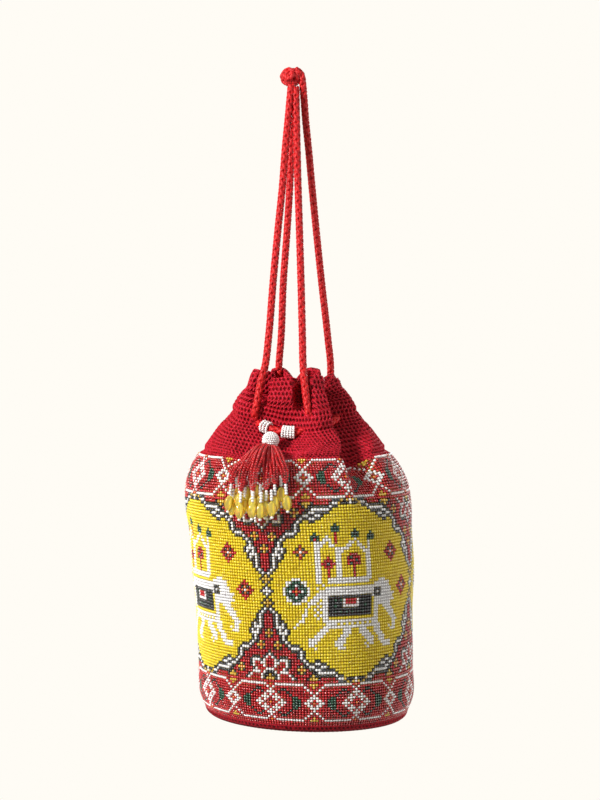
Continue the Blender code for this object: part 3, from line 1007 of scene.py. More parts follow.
@dataclass
class Figures:
    """Strokes that draw the elephant, its howdah and the small flowers in the medallion.

    Attributes:
        chart: the chart they are drawn in.
        middle_row: row of the medallion's middle.
    """

    chart: Array
    middle_row: int
    # Thin strokes of the elephant: trunk, belly, tail and feet
    thin_lines: tuple = (
        ((12.5, -5), (14, -6.4), (16, -8.7), (18, -10.9), (18.4, -12.8), (17, -14.4), (15.4, -13.2)),
        ((11.6, -5), (13.4, -7), (15.2, -9), (17, -11), (17.4, -12.6)),
        ((14, -4.6), (15.4, -6.4), (17, -8.8), (18.6, -11)),
        ((-10, -10), (7, -10)), ((-10, -9), (-8, -12), (7, -12)),
        ((-12, -0.5), (-13.2, -1.6), (-16.4, -5.4), (-17.2, -7.5), (-18.5, -9.8), (-21.2, -12.2)),
        ((-15, -18), (-14, -19)), ((-6, -19), (-4, -19)), ((6, -18), (5, -19), (4, -18)),
    )
    # Thick strokes: its legs
    thick_lines: tuple = (
        ((8, -4), (8.2, -11), (9.4, -14), (11, -16.6), (12.4, -18.6), (14.6, -18.3)),
        ((-8.6, -11), (-12.5, -14.6), (-15.6, -17.2)), ((-2.4, -12), (-4.2, -15.4), (-6.4, -17.8)),
        ((2.2, -12), (4.4, -15), (6.4, -17)),
    )

    def put(self, across: int, up: int, bead: Bead) -> None:
        """Place one bead, counted from the medallion's middle."""
        self.chart[self.middle_row + up, across % self.chart.shape[1]] = bead.value

    def stroke(self, route: Sequence[tuple[float, float]], bead: Bead, width: float = 1.0) -> None:
        """Draw a line of beads.

        Args:
            route: its corners, across and up from the medallion's middle.
            bead: its colour.
            width: its width in beads.
        """
        for (x0, y0), (x1, y1) in zip(route, route[1:]):
            steps = max(int(3 * max(abs(x1 - x0), abs(y1 - y0))), 1)
            for i in range(steps + 1):
                x, y = x0 + (x1 - x0) * i / steps, y0 + (y1 - y0) * i / steps
                half = 0.5 * (width - 1.0)
                for across in range(round(x - half), round(x + half) + 1):
                    for up in range(round(y - half), round(y + half) + 1):
                        self.put(across, up, bead)

    def block(self, low: tuple[int, int], high: tuple[int, int], bead: Bead) -> None:
        """Fill a block of beads between two corners.

        Args:
            low: lower left corner.
            high: upper right corner.
            bead: its colour.
        """
        for across in range(low[0], high[0] + 1):
            for up in range(low[1], high[1] + 1):
                self.put(across, up, bead)

    def ball(self, middle: tuple[float, float], half: tuple[float, float], bead: Bead) -> None:
        """Fill a round of beads.

        Args:
            middle: its middle.
            half: half its width and height.
            bead: its colour.
        """
        for across in range(math.floor(middle[0] - half[0]), math.ceil(middle[0] + half[0]) + 1):
            for up in range(math.floor(middle[1] - half[1]), math.ceil(middle[1] + half[1]) + 1):
                if ((across - middle[0]) / half[0]) ** 2 + ((up - middle[1]) / half[1]) ** 2 <= 1.0:
                    self.put(across, up, bead)

    def diamond(self, middle: tuple[int, int], size: int, bead: Bead) -> None:
        """Fill a diamond of beads.

        Args:
            middle: its middle.
            size: beads from its middle to a corner.
            bead: its colour.
        """
        for across in range(-size, size + 1):
            for up in range(abs(across) - size, size - abs(across) + 1):
                self.put(middle[0] + across, middle[1] + up, bead)

    def draw(self) -> None:
        """Draw all the figures."""
        self.draw_rosette(-20, 0)
        self.draw_flower(-18, 13, 2)
        self.draw_flower(16, 12, 3)
        self.draw_flower(22, 0, 3)
        self.draw_howdah()
        self.draw_elephant()

    def draw_rosette(self, across: int, up: int) -> None:
        """Round rosette: dotted white rim, green ground with white dots, red middle.

        Args:
            across: column of its middle.
            up: row of its middle.
        """
        self.ball((across, up), (4.3, 4.3), Bead.WHITE)
        self.ball((across, up), (3.3, 3.3), Bead.GREEN)
        for i, j in ((0, 2), (2, 0), (0, -2), (-2, 0)):
            self.put(across + i, up + j, Bead.WHITE)
        self.diamond((across, up), 1, Bead.RED)
        self.put(across, up, Bead.ORANGE)

    def draw_flower(self, across: int, up: int, size: int) -> None:
        """Red diamond flower with a checked dark middle.

        Args:
            across: column of its middle.
            up: row of its middle.
            size: beads from its middle to a corner.
        """
        self.diamond((across, up), size, Bead.RED)
        for i in (-1, 0, 1):
            for j in (-1, 0, 1):
                self.put(across + i, up + j, Bead.PINE if (i + j) % 2 == 0 else Bead.ORANGE)
        self.put(across, up, Bead.WHITE)

    def draw_howdah(self) -> None:
        """Canopied seat: posts, arches, green finials and a red tree in each bay."""
        white, red, green = Bead.WHITE, Bead.RED, Bead.GREEN
        for left, right, low, high in ((-13, -12, 3, 17), (-6, -5, 3, 14), (6, 6, 4, 16), (5, 5, 4, 12)):
            self.block((left, low), (right, high), white)
        self.stroke([(-12, 15), (-11, 15), (-9.2, 18.1), (-7.4, 15.1), (-6, 14)], white)
        self.stroke([(-4, 13.4), (-1.3, 14.9), (1, 17.1), (3, 14.6), (5.5, 12)], white)
        self.block((-9, 3), (5, 4), white)
        self.stroke([(-12, 3), (-9, 0)], white)
        self.stroke([(-13, 1), (-11, -1)], white)
        self.block((-6, 16), (-6, 20), red)
        for across, up in ((-13, 18), (-6, 21), (1, 19), (7, 18)):
            self.block((across - 1, up - 1), (across + 1, up), green)
            self.put(across, up + 1, green)
            self.put(across, up, Bead.PINE)
        self.put(-13, 17, red)
        self.stroke([(-9, 5), (-9, 8)], red)
        self.diamond((-9, 9), 2, red)
        self.put(-9, 9, green)
        self.stroke([(0, 5), (0, 8)], red)
        self.ball((0.0, 10.3), (2.5, 2.5), red)
        for across, up in ((-1, 11), (1, 10), (-1, 9)):
            self.put(across, up, green)

    def draw_elephant(self) -> None:
        """White elephant facing right, with a dark saddle cloth."""
        white, green = Bead.WHITE, Bead.GREEN
        self.block((-9, -1), (8, 1), white)
        self.block((-11, -10), (-10, 0), white)
        self.ball((11.0, -1.0), (4.2, 4.4), white)
        self.ball((13.2, -3.4), (3.2, 3.2), white)
        for route in self.thin_lines:
            self.stroke(route, white)
        for route in self.thick_lines:
            self.stroke(route, white, 2.0)
        for across, up in ((17, -2), (17, -4), *((across, -11) for across in range(-7, 8, 2))):
            self.put(across, up, white)
        for across in range(-14, -11):
            for up in range(-9, -1):
                if (across + up) % 2 == 0:
                    self.put(across, up, white)
        self.block((-9, -8), (6, -2), Bead.BLACK)
        for across in range(-7, 5, 2):
            self.put(across, -3, green)
            self.put(across, -7, green)
        for across in (-7, 4):
            self.put(across, -5, green)
        self.block((-4, -5), (1, -3), white)
        self.block((-3, -4), (0, -3), Bead.RED)
        self.block((8, -2), (10, 0), Bead.BLACK)
        self.put(9, -1, white)


# Pieces of the bag


@dataclass
class BeadedBody:
    """Bead crochet from the base up to the collar, with its ground cloth.

    Attributes:
        wall: the wall that it follows.
        chart: the pattern of one quarter.
        quarters: how often the pattern goes round.
        first_azimuth: azimuth of the first medallion's middle.
        wall_thickness: thickness of the cloth.
        bead_share: a bead's width as a share of its pitch.
        widest_bead: limit to half a bead's width, as a share of a row's height.
    """

    wall: Wall
    chart: BeadChart
    quarters: int = 4
    first_azimuth: float = 26.5
    wall_thickness: float = 3.0 * MM
    ground_depth: float = 0.4 * MM
    bead_share: float = 1.1
    bead_sides: int = 7
    bead_depth: float = 0.95 * MM
    widest_bead: float = 0.62
    seed: int = 11
    bead_lift: float = 0.15 * MM
    low_rows: float = 0.90
    field_rows: float = 1.045
    quarter_names: tuple = ("beads_front", "beads_right", "beads_back", "beads_left")
    # Spread of places round and up, of sizes and of tilts, as in hand work
    azimuth_spread: float = 0.035
    level_spread: float = 0.00035
    size_spread: float = 0.03
    tilt_spread: float = 0.06
    # Tint of the ground under each bead colour, from dark over red and yellow to white
    tint_of: tuple = (0.33, 0.67, 1.0, 0.0, 0.0, 0.6, 0.5, 0.0)

    def row_levels(self) -> tuple[Array, Array]:
        """Level of each row and the height that each row takes up along the cloth.

        Returns:
            The levels and the heights.
        """
        levels = np.linspace(0.0, 1.0, 600)
        along = self.wall.ridge_lengths(levels)
        low = self.chart.plain_rows + self.chart.border_rows
        steps = np.ones(self.chart.rows)
        steps[:low] = self.low_rows
        steps[low:low + self.chart.field_rows] = self.field_rows
        steps *= along[-1] / steps.sum()
        places = np.cumsum(steps) - 0.5 * steps
        return np.interp(places, along, levels), steps

    def build(self) -> list[Piece]:
        """Ground cloth and the four quarters of beads.

        Returns:
            The pieces.
        """
        chart = self.chart.chart()
        levels, pitch = self.row_levels()
        pieces = [self.build_ground(chart, levels)]
        columns = self.chart.columns
        step = 360.0 / (self.quarters * columns)
        draw = np.random.default_rng(self.seed)
        row, column = np.indices((self.chart.rows, columns)).reshape(2, -1)
        column = column - columns // 2
        for quarter, name in enumerate(self.quarter_names):
            start = self.first_azimuth + quarter * 360.0 / self.quarters
            azimuth = start + column * step + draw.normal(0.0, self.azimuth_spread, row.shape)
            level = np.clip(levels[row] + draw.normal(0.0, self.level_spread, row.shape), 0.001, 0.999)
            places, axes = self.wall.places(azimuth, level, self.bead_lift)
            chord = self.wall.bare(azimuth + step, level) - self.wall.bare(azimuth - step, level)
            wide = 0.25 * self.bead_share * np.linalg.norm(chord, axis=1)
            high = 0.5 * self.bead_share * pitch[row]
            halves = np.stack(
                [np.minimum(wide, self.widest_bead * pitch[row]), high, np.full(row.shape, self.bead_depth)],
                axis=1,
            )
            halves *= draw.normal(1.0, self.size_spread, (len(row), 1))
            turned = self.jittered(axes, draw)
            slots = chart[row, column % columns]
            piece = stamped(name, bead_stamp(self.bead_sides), places, turned, halves, slots)
            for bead in Bead:
                piece.data.materials.append(MATERIALS[bead])
            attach(piece, ROOT)
            pieces.append(piece)
            LOG.info("%s: %d beads", name, len(row))
        return pieces

    def jittered(self, axes: Array, draw: np.random.Generator) -> Array:
        """Axes tipped a little.

        Args:
            axes: each bead's axes.
            draw: random numbers.

        Returns:
            The tipped axes.
        """
        tips = draw.normal(0.0, self.tilt_spread, (len(axes), 2, 1))
        out = unit(axes[:, 2] + axes[:, 0] * tips[:, 0] + axes[:, 1] * tips[:, 1])
        across = unit(axes[:, 0] - out * (axes[:, 0] * out).sum(1, keepdims=True))
        return np.stack([across, np.cross(out, across), out], axis=1)

    def build_ground(self, chart: Array, levels: Array) -> Piece:
        """Cloth that the beads are worked on, tinted as they are.

        Args:
            chart: bead numbers.
            levels: level of each row.

        Returns:
            The new object.
        """
        columns = self.quarters * self.chart.columns
        steps = np.arange(columns) - self.chart.columns // 2
        azimuths = self.first_azimuth + 360.0 / columns * steps
        rings, tints = [], []
        for level in (0.0, *levels[::2], 1.0):
            rings.append(self.wall.places(azimuths, level, -self.ground_depth)[0])
            row = min(np.searchsorted(levels, level), len(levels) - 1)
            tints.append(np.array(self.tint_of)[chart[row, steps % self.chart.columns]])
        for level in np.linspace(1.0, 0.0, 28):
            rings.append(self.wall.places(azimuths, level, -self.wall_thickness)[0])
            tints.append(np.zeros(columns))
        ground = mesh_object("bead_ground", np.vstack(rings), grid_faces(len(rings), columns, closed=True))
        add_shade(ground, "relief", np.concatenate(tints))
        ground.data.materials.append(TintedGround().material())
        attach(ground, ROOT)
        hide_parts("beaded_body")
        return ground


@dataclass
class CrochetStitches:
    """Relief of rows of crochet, with a hole in the middle of each stitch.

    Attributes:
        height: rise from the bottom of a hole to the yarn.
        hole_wide: half width of a hole as a share of a stitch.
        hole_high: half height of a hole as a share of a row.
        slant: how far a stitch leans over one row.
        steepness: how fast the yarn rises from a hole.
    """

    height: float = 1.5 * MM
    hole_wide = 0.31
    hole_high = 0.30
    slant = 0.15
    steepness = 0.55

    def relief(self, across: Array, up: Array) -> Array:
        """Rise of the yarn.

        Args:
            across: place along a row, counted in stitches.
            up: place up the cloth, counted in rows.

        Returns:
            Shares of the full rise, 0 in a hole and 1 on the yarn.
        """
        row = np.floor(up)
        high = (up - row - 0.5) / self.hole_high
        shifted = across + 0.5 * (row % 2) + self.slant * (up - row)
        wide = (shifted % 1.0 - 0.5) / self.hole_wide
        return np.minimum(self.steepness * (high * high + wide * wide), 1.0)

    @staticmethod
    def corners(rows: Array, columns: int, per_row: Array) -> Array:
        """Places in the pattern of the corners of a closed grid's faces.

        Args:
            rows: place up the cloth of each ring of points, counted in rows.
            columns: points in each ring.
            per_row: stitches round each band of faces.

        Returns:
            Places across and up, for the four corners of each face.
        """
        i, j = np.meshgrid(np.arange(len(rows) - 1), np.arange(columns), indexing="ij")
        per = np.asarray(per_row, float)[i]
        across = np.stack([j, j + 1, j + 1, j], -1) / columns * per[..., None]
        up = np.stack([rows[i], rows[i], rows[i + 1], rows[i + 1]], -1)
        return np.stack([across, up], -1).reshape(-1, 2)


@dataclass
class Collar:
    """Gathered crochet collar with its pleats and ruffle.

    Attributes:
        wall: the wall that it follows.
        stitches: its relief.
        strands: points along the strands of cord that lie in it.
        columns: points round it.
        stitch_pitch: width of a stitch.
        rows: rows from the beads to the edge of the ruffle.
        samples: points across one stitch.
        thickness: thickness of the cloth.
        strand_room: distance kept from the middle of a strand of cord.
        lip: how far the edge of the ruffle rolls outwards.
        lip_levels: between which levels it rolls.
        relief_middle: share of the relief that lies on the wall.
    """

    wall: Wall
    stitches: CrochetStitches
    strands: list[Array]
    columns: int = 600
    stitch_pitch: float = 3.0 * MM
    rows: int = 24
    samples: int = 4
    thickness: float = 2.5 * MM
    strand_room: float = 3.1 * MM
    lip: float = 3.0 * MM
    lip_levels: tuple = (2.72, 2.97)
    relief_middle: float = 0.62
    inner_rings: int = 27

    def rolled(self, level: float) -> float:
        """How far the cloth rolls outwards at a level."""
        return self.lip * float(smoothstep(level, *self.lip_levels))

    def build(self) -> Piece:
        """The collar as one closed mesh.

        Returns:
            The new object.
        """
        columns = self.columns
        rings, ups, counts = [], [], []
        for i, level in enumerate(self.even_levels(self.rows * self.samples + 1)):
            ups.append(i / self.samples)
            azimuths, girth = self.even_azimuths(level)
            counts.append(counts[-1] if i % self.samples else round(girth / self.stitch_pitch))
            across = np.arange(columns) * counts[-1] / columns
            relief = self.stitches.relief(across, np.full(columns, ups[-1]))
            edge = min(i, 2) / 2.0
            rise = (relief - self.relief_middle) * self.stitches.height * edge + self.rolled(level)
            rings.append(self.wall.places(azimuths, level, rise)[0])
        for share in np.linspace(1.0, 0.0, self.inner_rings):
            level = 1.0 + 2.0 * share
            azimuths, _ = self.even_azimuths(level)
            rings.append(self.wall.places(azimuths, level, self.rolled(level) - self.thickness)[0])
            ups.append(self.rows * (2.0 - share) + 1.0)
            counts.append(counts[-1])
        faces = grid_faces(len(rings), columns, closed=True)
        collar = mesh_object("collar_crochet", self.cleared(np.vstack(rings)), faces)
        ups.append(ups[-1] + 1.0)
        add_map(collar, "stitches", self.stitches.corners(np.array(ups), columns, np.array(counts)))
        collar.data.materials.append(COLLAR_CROCHET.material())
        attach(collar, ROOT)
        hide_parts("collar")
        return collar

    def even_azimuths(self, level: float) -> tuple[Array, float]:
        """Azimuths of points evenly spaced along the folded cloth, and the cloth's length there.

        Args:
            level: place up the wall.

        Returns:
            The azimuths and the length.
        """
        fine = np.linspace(0.0, 360.0, 1441)
        along = lengths_along(self.wall.bare(fine, np.full(len(fine), level)))
        places = along[-1] * np.arange(self.columns) / self.columns
        return np.interp(places, along, fine), float(along[-1])

    def even_levels(self, count: int) -> Array:
        """Levels from the beads to the edge of the ruffle, evenly spaced along its ridges.

        Args:
            count: how many.

        Returns:
            The levels.
        """
        levels = np.linspace(1.0, 3.0, 400)
        along = self.wall.ridge_lengths(levels)
        return np.interp(np.linspace(0.0, along[-1], count), along, levels)

    def cleared(self, points: Array) -> Array:
        """Cloth moved aside where a strand of cord lies in it.

        Args:
            points: points of the cloth.

        Returns:
            The points, moved where they have to be.
        """
        path = np.vstack(self.strands)
        tree = KDTree(len(path))
        for index, place in enumerate(path):
            tree.insert(place, index)
        tree.balance()
        for index, point in enumerate(points):
            place, _, far = tree.find(point)
            if far < self.strand_room:
                away = Vector(point) - place
                points[index] = place + away.normalized() * self.strand_room
        return points


@dataclass
class Base:
    """Round crocheted bottom with its rolled rim.

    Attributes:
        wall: the wall that stands on it.
        stitches: its relief.
    """

    wall: Wall
    stitches: CrochetStitches
    columns: int = 400
    pitch: float = 2.9 * MM
    stitch_pitch: float = 3.2 * MM
    relief_height: float = 0.9 * MM
    floor_thickness: float = 3.4 * MM
    rim_round: float = 4.6 * MM
    rim_out: float = 0.7 * MM

    def profile(self, rim: float) -> tuple[list[Place], int]:
        """Half section of the base, from the middle below over the rim to the middle inside.

        Args:
            rim: radius of the wall that stands on it.

        Returns:
            Radius, height and share of facing sideways of each ring, and how many rings are outside.
        """
        low, top = -self.wall.hang_drop, -self.wall.hang_drop + self.wall.base_height
        rings = [(0.0, low, 0.0)]
        rings += [(r, low, 0.0) for r in np.linspace(3.0 * MM, rim - self.rim_round, 34)]
        for share in np.linspace(0.1, 1.0, 12):
            turn = 0.5 * math.pi * share
            radius = rim + self.rim_out - (self.rim_round + self.rim_out) * (1.0 - math.sin(turn))
            rings.append((radius, low + (top - low) * (1.0 - math.cos(turn)), share))
        floor = low + self.floor_thickness
        inside = [(rim - 3.0 * MM, top, 1.0), (rim - 4.5 * MM, floor, 0.0), (1.0 * MM, floor, 0.0)]
        return rings + inside, len(rings)

    def build(self) -> Piece:
        """The base as one closed mesh.

        Returns:
            The new object.
        """
        rim = self.wall.unfolded_radius(self.wall.sections[0][1])
        profile, outer = self.profile(rim)
        turns = full_turn(self.columns)
        right, back = np.sin(turns), -np.cos(turns)
        lengths = lengths_along(np.array(profile)[:, :2]) / self.pitch
        rings, counts = [], []
        for i, (radius, height, side) in enumerate(profile):
            radius = max(radius, 0.6 * MM)
            counts.append(max(round(TAU * radius / self.stitch_pitch), 6))
            relief = self.stitches.relief(turns / TAU * counts[-1], np.full(self.columns, lengths[i]))
            if i >= outer or i == 0:
                relief = np.full(self.columns, 0.5)
            rise = (relief - 0.75) * self.relief_height
            spread = radius + rise * side
            up = height - rise * (1.0 - side) - self.wall.foot_drop(turns) * radius / rim
            rings.append(np.stack([self.wall.base_sway + right * spread, back * spread, up], axis=1))
        faces = grid_faces(len(rings), self.columns)[:, ::-1]
        last = np.arange(self.columns) + (len(rings) - 1) * self.columns
        base = mesh_object("base_crochet", np.vstack(rings), [*faces, range(self.columns), last[::-1]])
        corners = self.stitches.corners(lengths, self.columns, np.array(counts[1:]))
        corners = corners.reshape(-1, 4, 2)[:, ::-1].reshape(-1, 2)
        add_map(base, "stitches", np.vstack([corners, np.zeros((2 * self.columns, 2))]))
        base.data.materials.append(BASE_CROCHET.material())
        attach(base, ROOT)
        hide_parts("base_disc")
        return base


@dataclass
class Braid:
    """Round braid: yarns wound both ways that pass over and under each other.

    Attributes:
        radius: half the cord's thickness.
        pitch: length of one turn of a yarn.
        strands: yarns wound each way.
        step: length between rings of points.
        sides: points round a yarn and round the core inside.
    """

    radius: float = 2.6 * MM
    pitch: float = 19.0 * MM
    strands: int = 3
    step: float = 1.15 * MM
    sides: int = 6
    # Shares of the radius: a yarn's distance from the middle, its weave, its half sizes, the core
    yarn_off: float = 0.70
    yarn_weave: float = 0.13
    yarn_high: float = 0.34
    yarn_wide: float = 0.54
    core: float = 0.62

    def spaced(self, path: Array) -> Array:
        """Points evenly spaced along a path.

        Args:
            path: points of any spacing.

        Returns:
            The even points.
        """
        along = lengths_along(path)
        count = max(int(along[-1] / self.step), 8)
        places = np.linspace(0.0, along[-1], count + 1)
        return np.stack([np.interp(places, along, path[:, i]) for i in range(3)], axis=1)

    @staticmethod
    def frames(points: Array) -> tuple[Array, Array]:
        """Two directions across a path that turn with it as little as they can.

        Args:
            points: the path.

        Returns:
            The two directions at each point.
        """
        along = unit(np.gradient(points, axis=0))
        side = np.array([0.0, 1.0, 0.0]) if abs(along[0][1]) < 0.8 else np.array([1.0, 0.0, 0.0])
        sides = []
        for direction in along:
            side = side - direction * side.dot(direction)
            side = side / np.linalg.norm(side)
            sides.append(side)
        sides = np.array(sides)
        return sides, np.cross(along, sides)

    def mesh(self, name: str, path: Array, closed: bool = False) -> tuple[Piece, Array]:
        """Braided cord along a path.

        Args:
            name: its name.
            path: points of its middle line.
            closed: whether its end joins its start.

        Returns:
            The object and the evenly spaced points of its middle line.
        """
        points = self.spaced(path)
        first, second = self.frames(points)
        count = len(points)
        places = np.linspace(0.0, 1.0, count)
        length = self.step * (count - 1)
        turns = max(round(length / self.pitch), 1)
        tubes = []
        for way in (1.0, -1.0):
            for strand in range(self.strands):
                turn = way * TAU * turns * places + TAU * strand / self.strands
                weave = np.cos(self.strands * TAU * turns * places)
                off = self.radius * (self.yarn_off + self.yarn_weave * way * weave)
                outward = first * np.cos(turn)[:, None] + second * np.sin(turn)[:, None]
                middle = points + outward * off[:, None]
                flat = unit(np.cross(unit(np.gradient(middle, axis=0)), outward))
                tubes.append(self.tube(middle, outward, flat, self.yarn_high, self.yarn_wide))
        tubes.append(self.tube(points, first, second, self.core, self.core))
        size = count * self.sides
        faces = [face + size * i for i in range(len(tubes)) for face in self.tube_faces(count, closed)]
        made = mesh_object(name, np.vstack(tubes), faces)
        made.data.materials.append(MATERIALS["cord"])
        return made, points

    def tube(self, middle: Array, first: Array, second: Array, high: float, wide: float) -> Array:
        """Points of a tube round a path.

        Args:
            middle: the path.
            first: direction of its section's height, for each point.
            second: direction of its section's width, for each point.
            high: half its height, as a share of the cord's radius.
            wide: half its width, as a share of the cord's radius.

        Returns:
            Its points, ring after ring.
        """
        rings = [
            middle + first * (high * self.radius * math.cos(angle))
            + second * (wide * self.radius * math.sin(angle))
            for angle in full_turn(self.sides)
        ]
        return np.stack(rings, axis=1).reshape(-1, 3)

    def tube_faces(self, count: int, closed: bool) -> list[Array]:
        """Faces of a tube, capped at its ends unless it closes on itself.

        Args:
            count: rings of points.
            closed: whether it closes on itself.

        Returns:
            Point numbers of each face.
        """
        end = np.arange(self.sides)
        caps = [] if closed else [end[::-1], (count - 1) * self.sides + end]
        return [*grid_faces(count, self.sides, closed), *caps]


STRAND_ROUTES = {
    "front_left": (
        (-0.4, -2.9, -13.0), (-2.8, -4.6, -39.0), (-4.8, -6.2, -60.0), (-6.8, -9.0, -87.0),
        (-10.3, -13.0, -122.0),
        (-13.6, -17.0, -158.0), (-17.2, -21.5, -202.0), (-19.3, -23.5, -220.0),
        (-23.0, -24.5, -235.0), (-25.2, -25.0, -247.0), (-26.8, -23.5, -255.0), (-27.8, -18.0, -263.0),
    ),
    "front_right": (
        (2.9, -2.9, -15.4), (3.8, -6.0, -60.0), (4.5, -9.0, -87.0), (5.6, -14.0, -122.0),
        (6.7, -19.0, -158.0), (7.8, -25.5, -202.0), (8.2, -28.0, -220.0),
        (8.9, -31.5, -230.0), (10.9, -35.0, -247.0), (12.6, -35.8, -257.0), (13.4, -30.5, -268.0),
    ),
    "back_left": (
        (0.6, 2.9, -13.0), (-0.6, 5.0, -60.0), (-1.6, 8.0, -87.0), (-3.8, 13.0, -122.0),
        (-6.5, 18.0, -158.0), (-8.4, 25.0, -202.0), (-10.0, 29.0, -222.0), (-9.4, 31.7, -243.9),
    ),
    "back_right": (
        (2.6, -4.0, -2.6), (6.4, -3.8, -5.6), (8.0, -2.2, -12.5), (8.8, 0.4, -21.0),
        (10.2, 3.6, -39.0), (12.4, 7.0, -60.0), (14.9, 10.0, -87.0), (18.4, 14.0, -122.0),
        (22.2, 17.5, -158.0), (27.2, 21.0, -202.0), (29.2, 22.6, -222.0), (28.2, 22.2, -245.9),
    ),
}


@dataclass
class Cords:
    """The cord: four taut strands from the knot, and the ring that gathers the neck.

    Attributes:
        wall: the wall that the ring is threaded through.
        braid: how the cord is made.
        knot_radius: half the knot's width.
        knot_height: the knot's height.
        knot_turns: turns of the cord round the knot.
        knot_waves: how often it goes up and down on the way.
        knot_tilt: how far it goes towards the poles, in degrees.
    """

    wall: Wall
    braid: Braid
    knot_radius: float = 7.8 * MM
    knot_height: float = 15.0 * MM
    knot_shift: float = 0.6 * MM
    knot_turns: float = 3.0
    knot_waves: float = 4.0
    knot_tilt: float = 58.0
    knot_swell: float = 0.10
    knot_stretch: float = 1.04

    def strand_path(self, side: str) -> Array:
        """Smooth path of one strand from the knot down.

        Args:
            side: the strand's name in the table of routes.

        Returns:
            Points from the knot down.
        """
        route = np.array(STRAND_ROUTES[side]) * MM
        along = lengths_along(route)
        return smooth_rows(np.column_stack([along, route]), np.linspace(0.0, along[-1], 240))[:, 1:]

    def build(self) -> list[Piece]:
        """Knot, strands and ring.

        Returns:
            The pieces.
        """
        knot = self.build_knot()
        pieces = [knot]
        for side in STRAND_ROUTES:
            strand, points = self.braid.mesh(f"strand_{side}", self.strand_path(side)[::-1])
            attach(strand, ROOT)
            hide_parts(f"cord_{side}")
            pieces.append(strand)
        ring_path = self.wall.ring_point(np.linspace(0.0, 360.0, 241)[:-1])
        ring, _ = self.braid.mesh("ring_cord", ring_path, closed=True)
        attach(ring, ROOT)
        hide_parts("neck_cord")
        pieces.append(ring)
        return pieces

    def build_knot(self) -> Piece:
        """Round knot of the same braid, wound over and under itself, a little to the left.

        Returns:
            The new object.
        """
        turns = np.linspace(0.0, TAU, 400)[:-1]
        tip = math.radians(self.knot_tilt) * np.sin(self.knot_waves * turns)
        swell = 1.0 + self.knot_swell * np.cos(2.0 * self.knot_waves * turns)
        wide = (self.knot_radius - self.braid.radius) * swell * np.cos(tip)
        high = (0.5 * self.knot_height - self.braid.radius) * self.knot_stretch * np.sin(tip)
        around = self.knot_turns * turns
        path = np.stack(
            [
                wide * np.cos(around) - self.knot_shift, wide * np.sin(around),
                high - 0.5 * self.knot_height,
            ],
            axis=1,
        )
        knot, _ = self.braid.mesh("hang_knot", path, closed=True)
        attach(knot, ROOT)
        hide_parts("top_knot")
        return knot


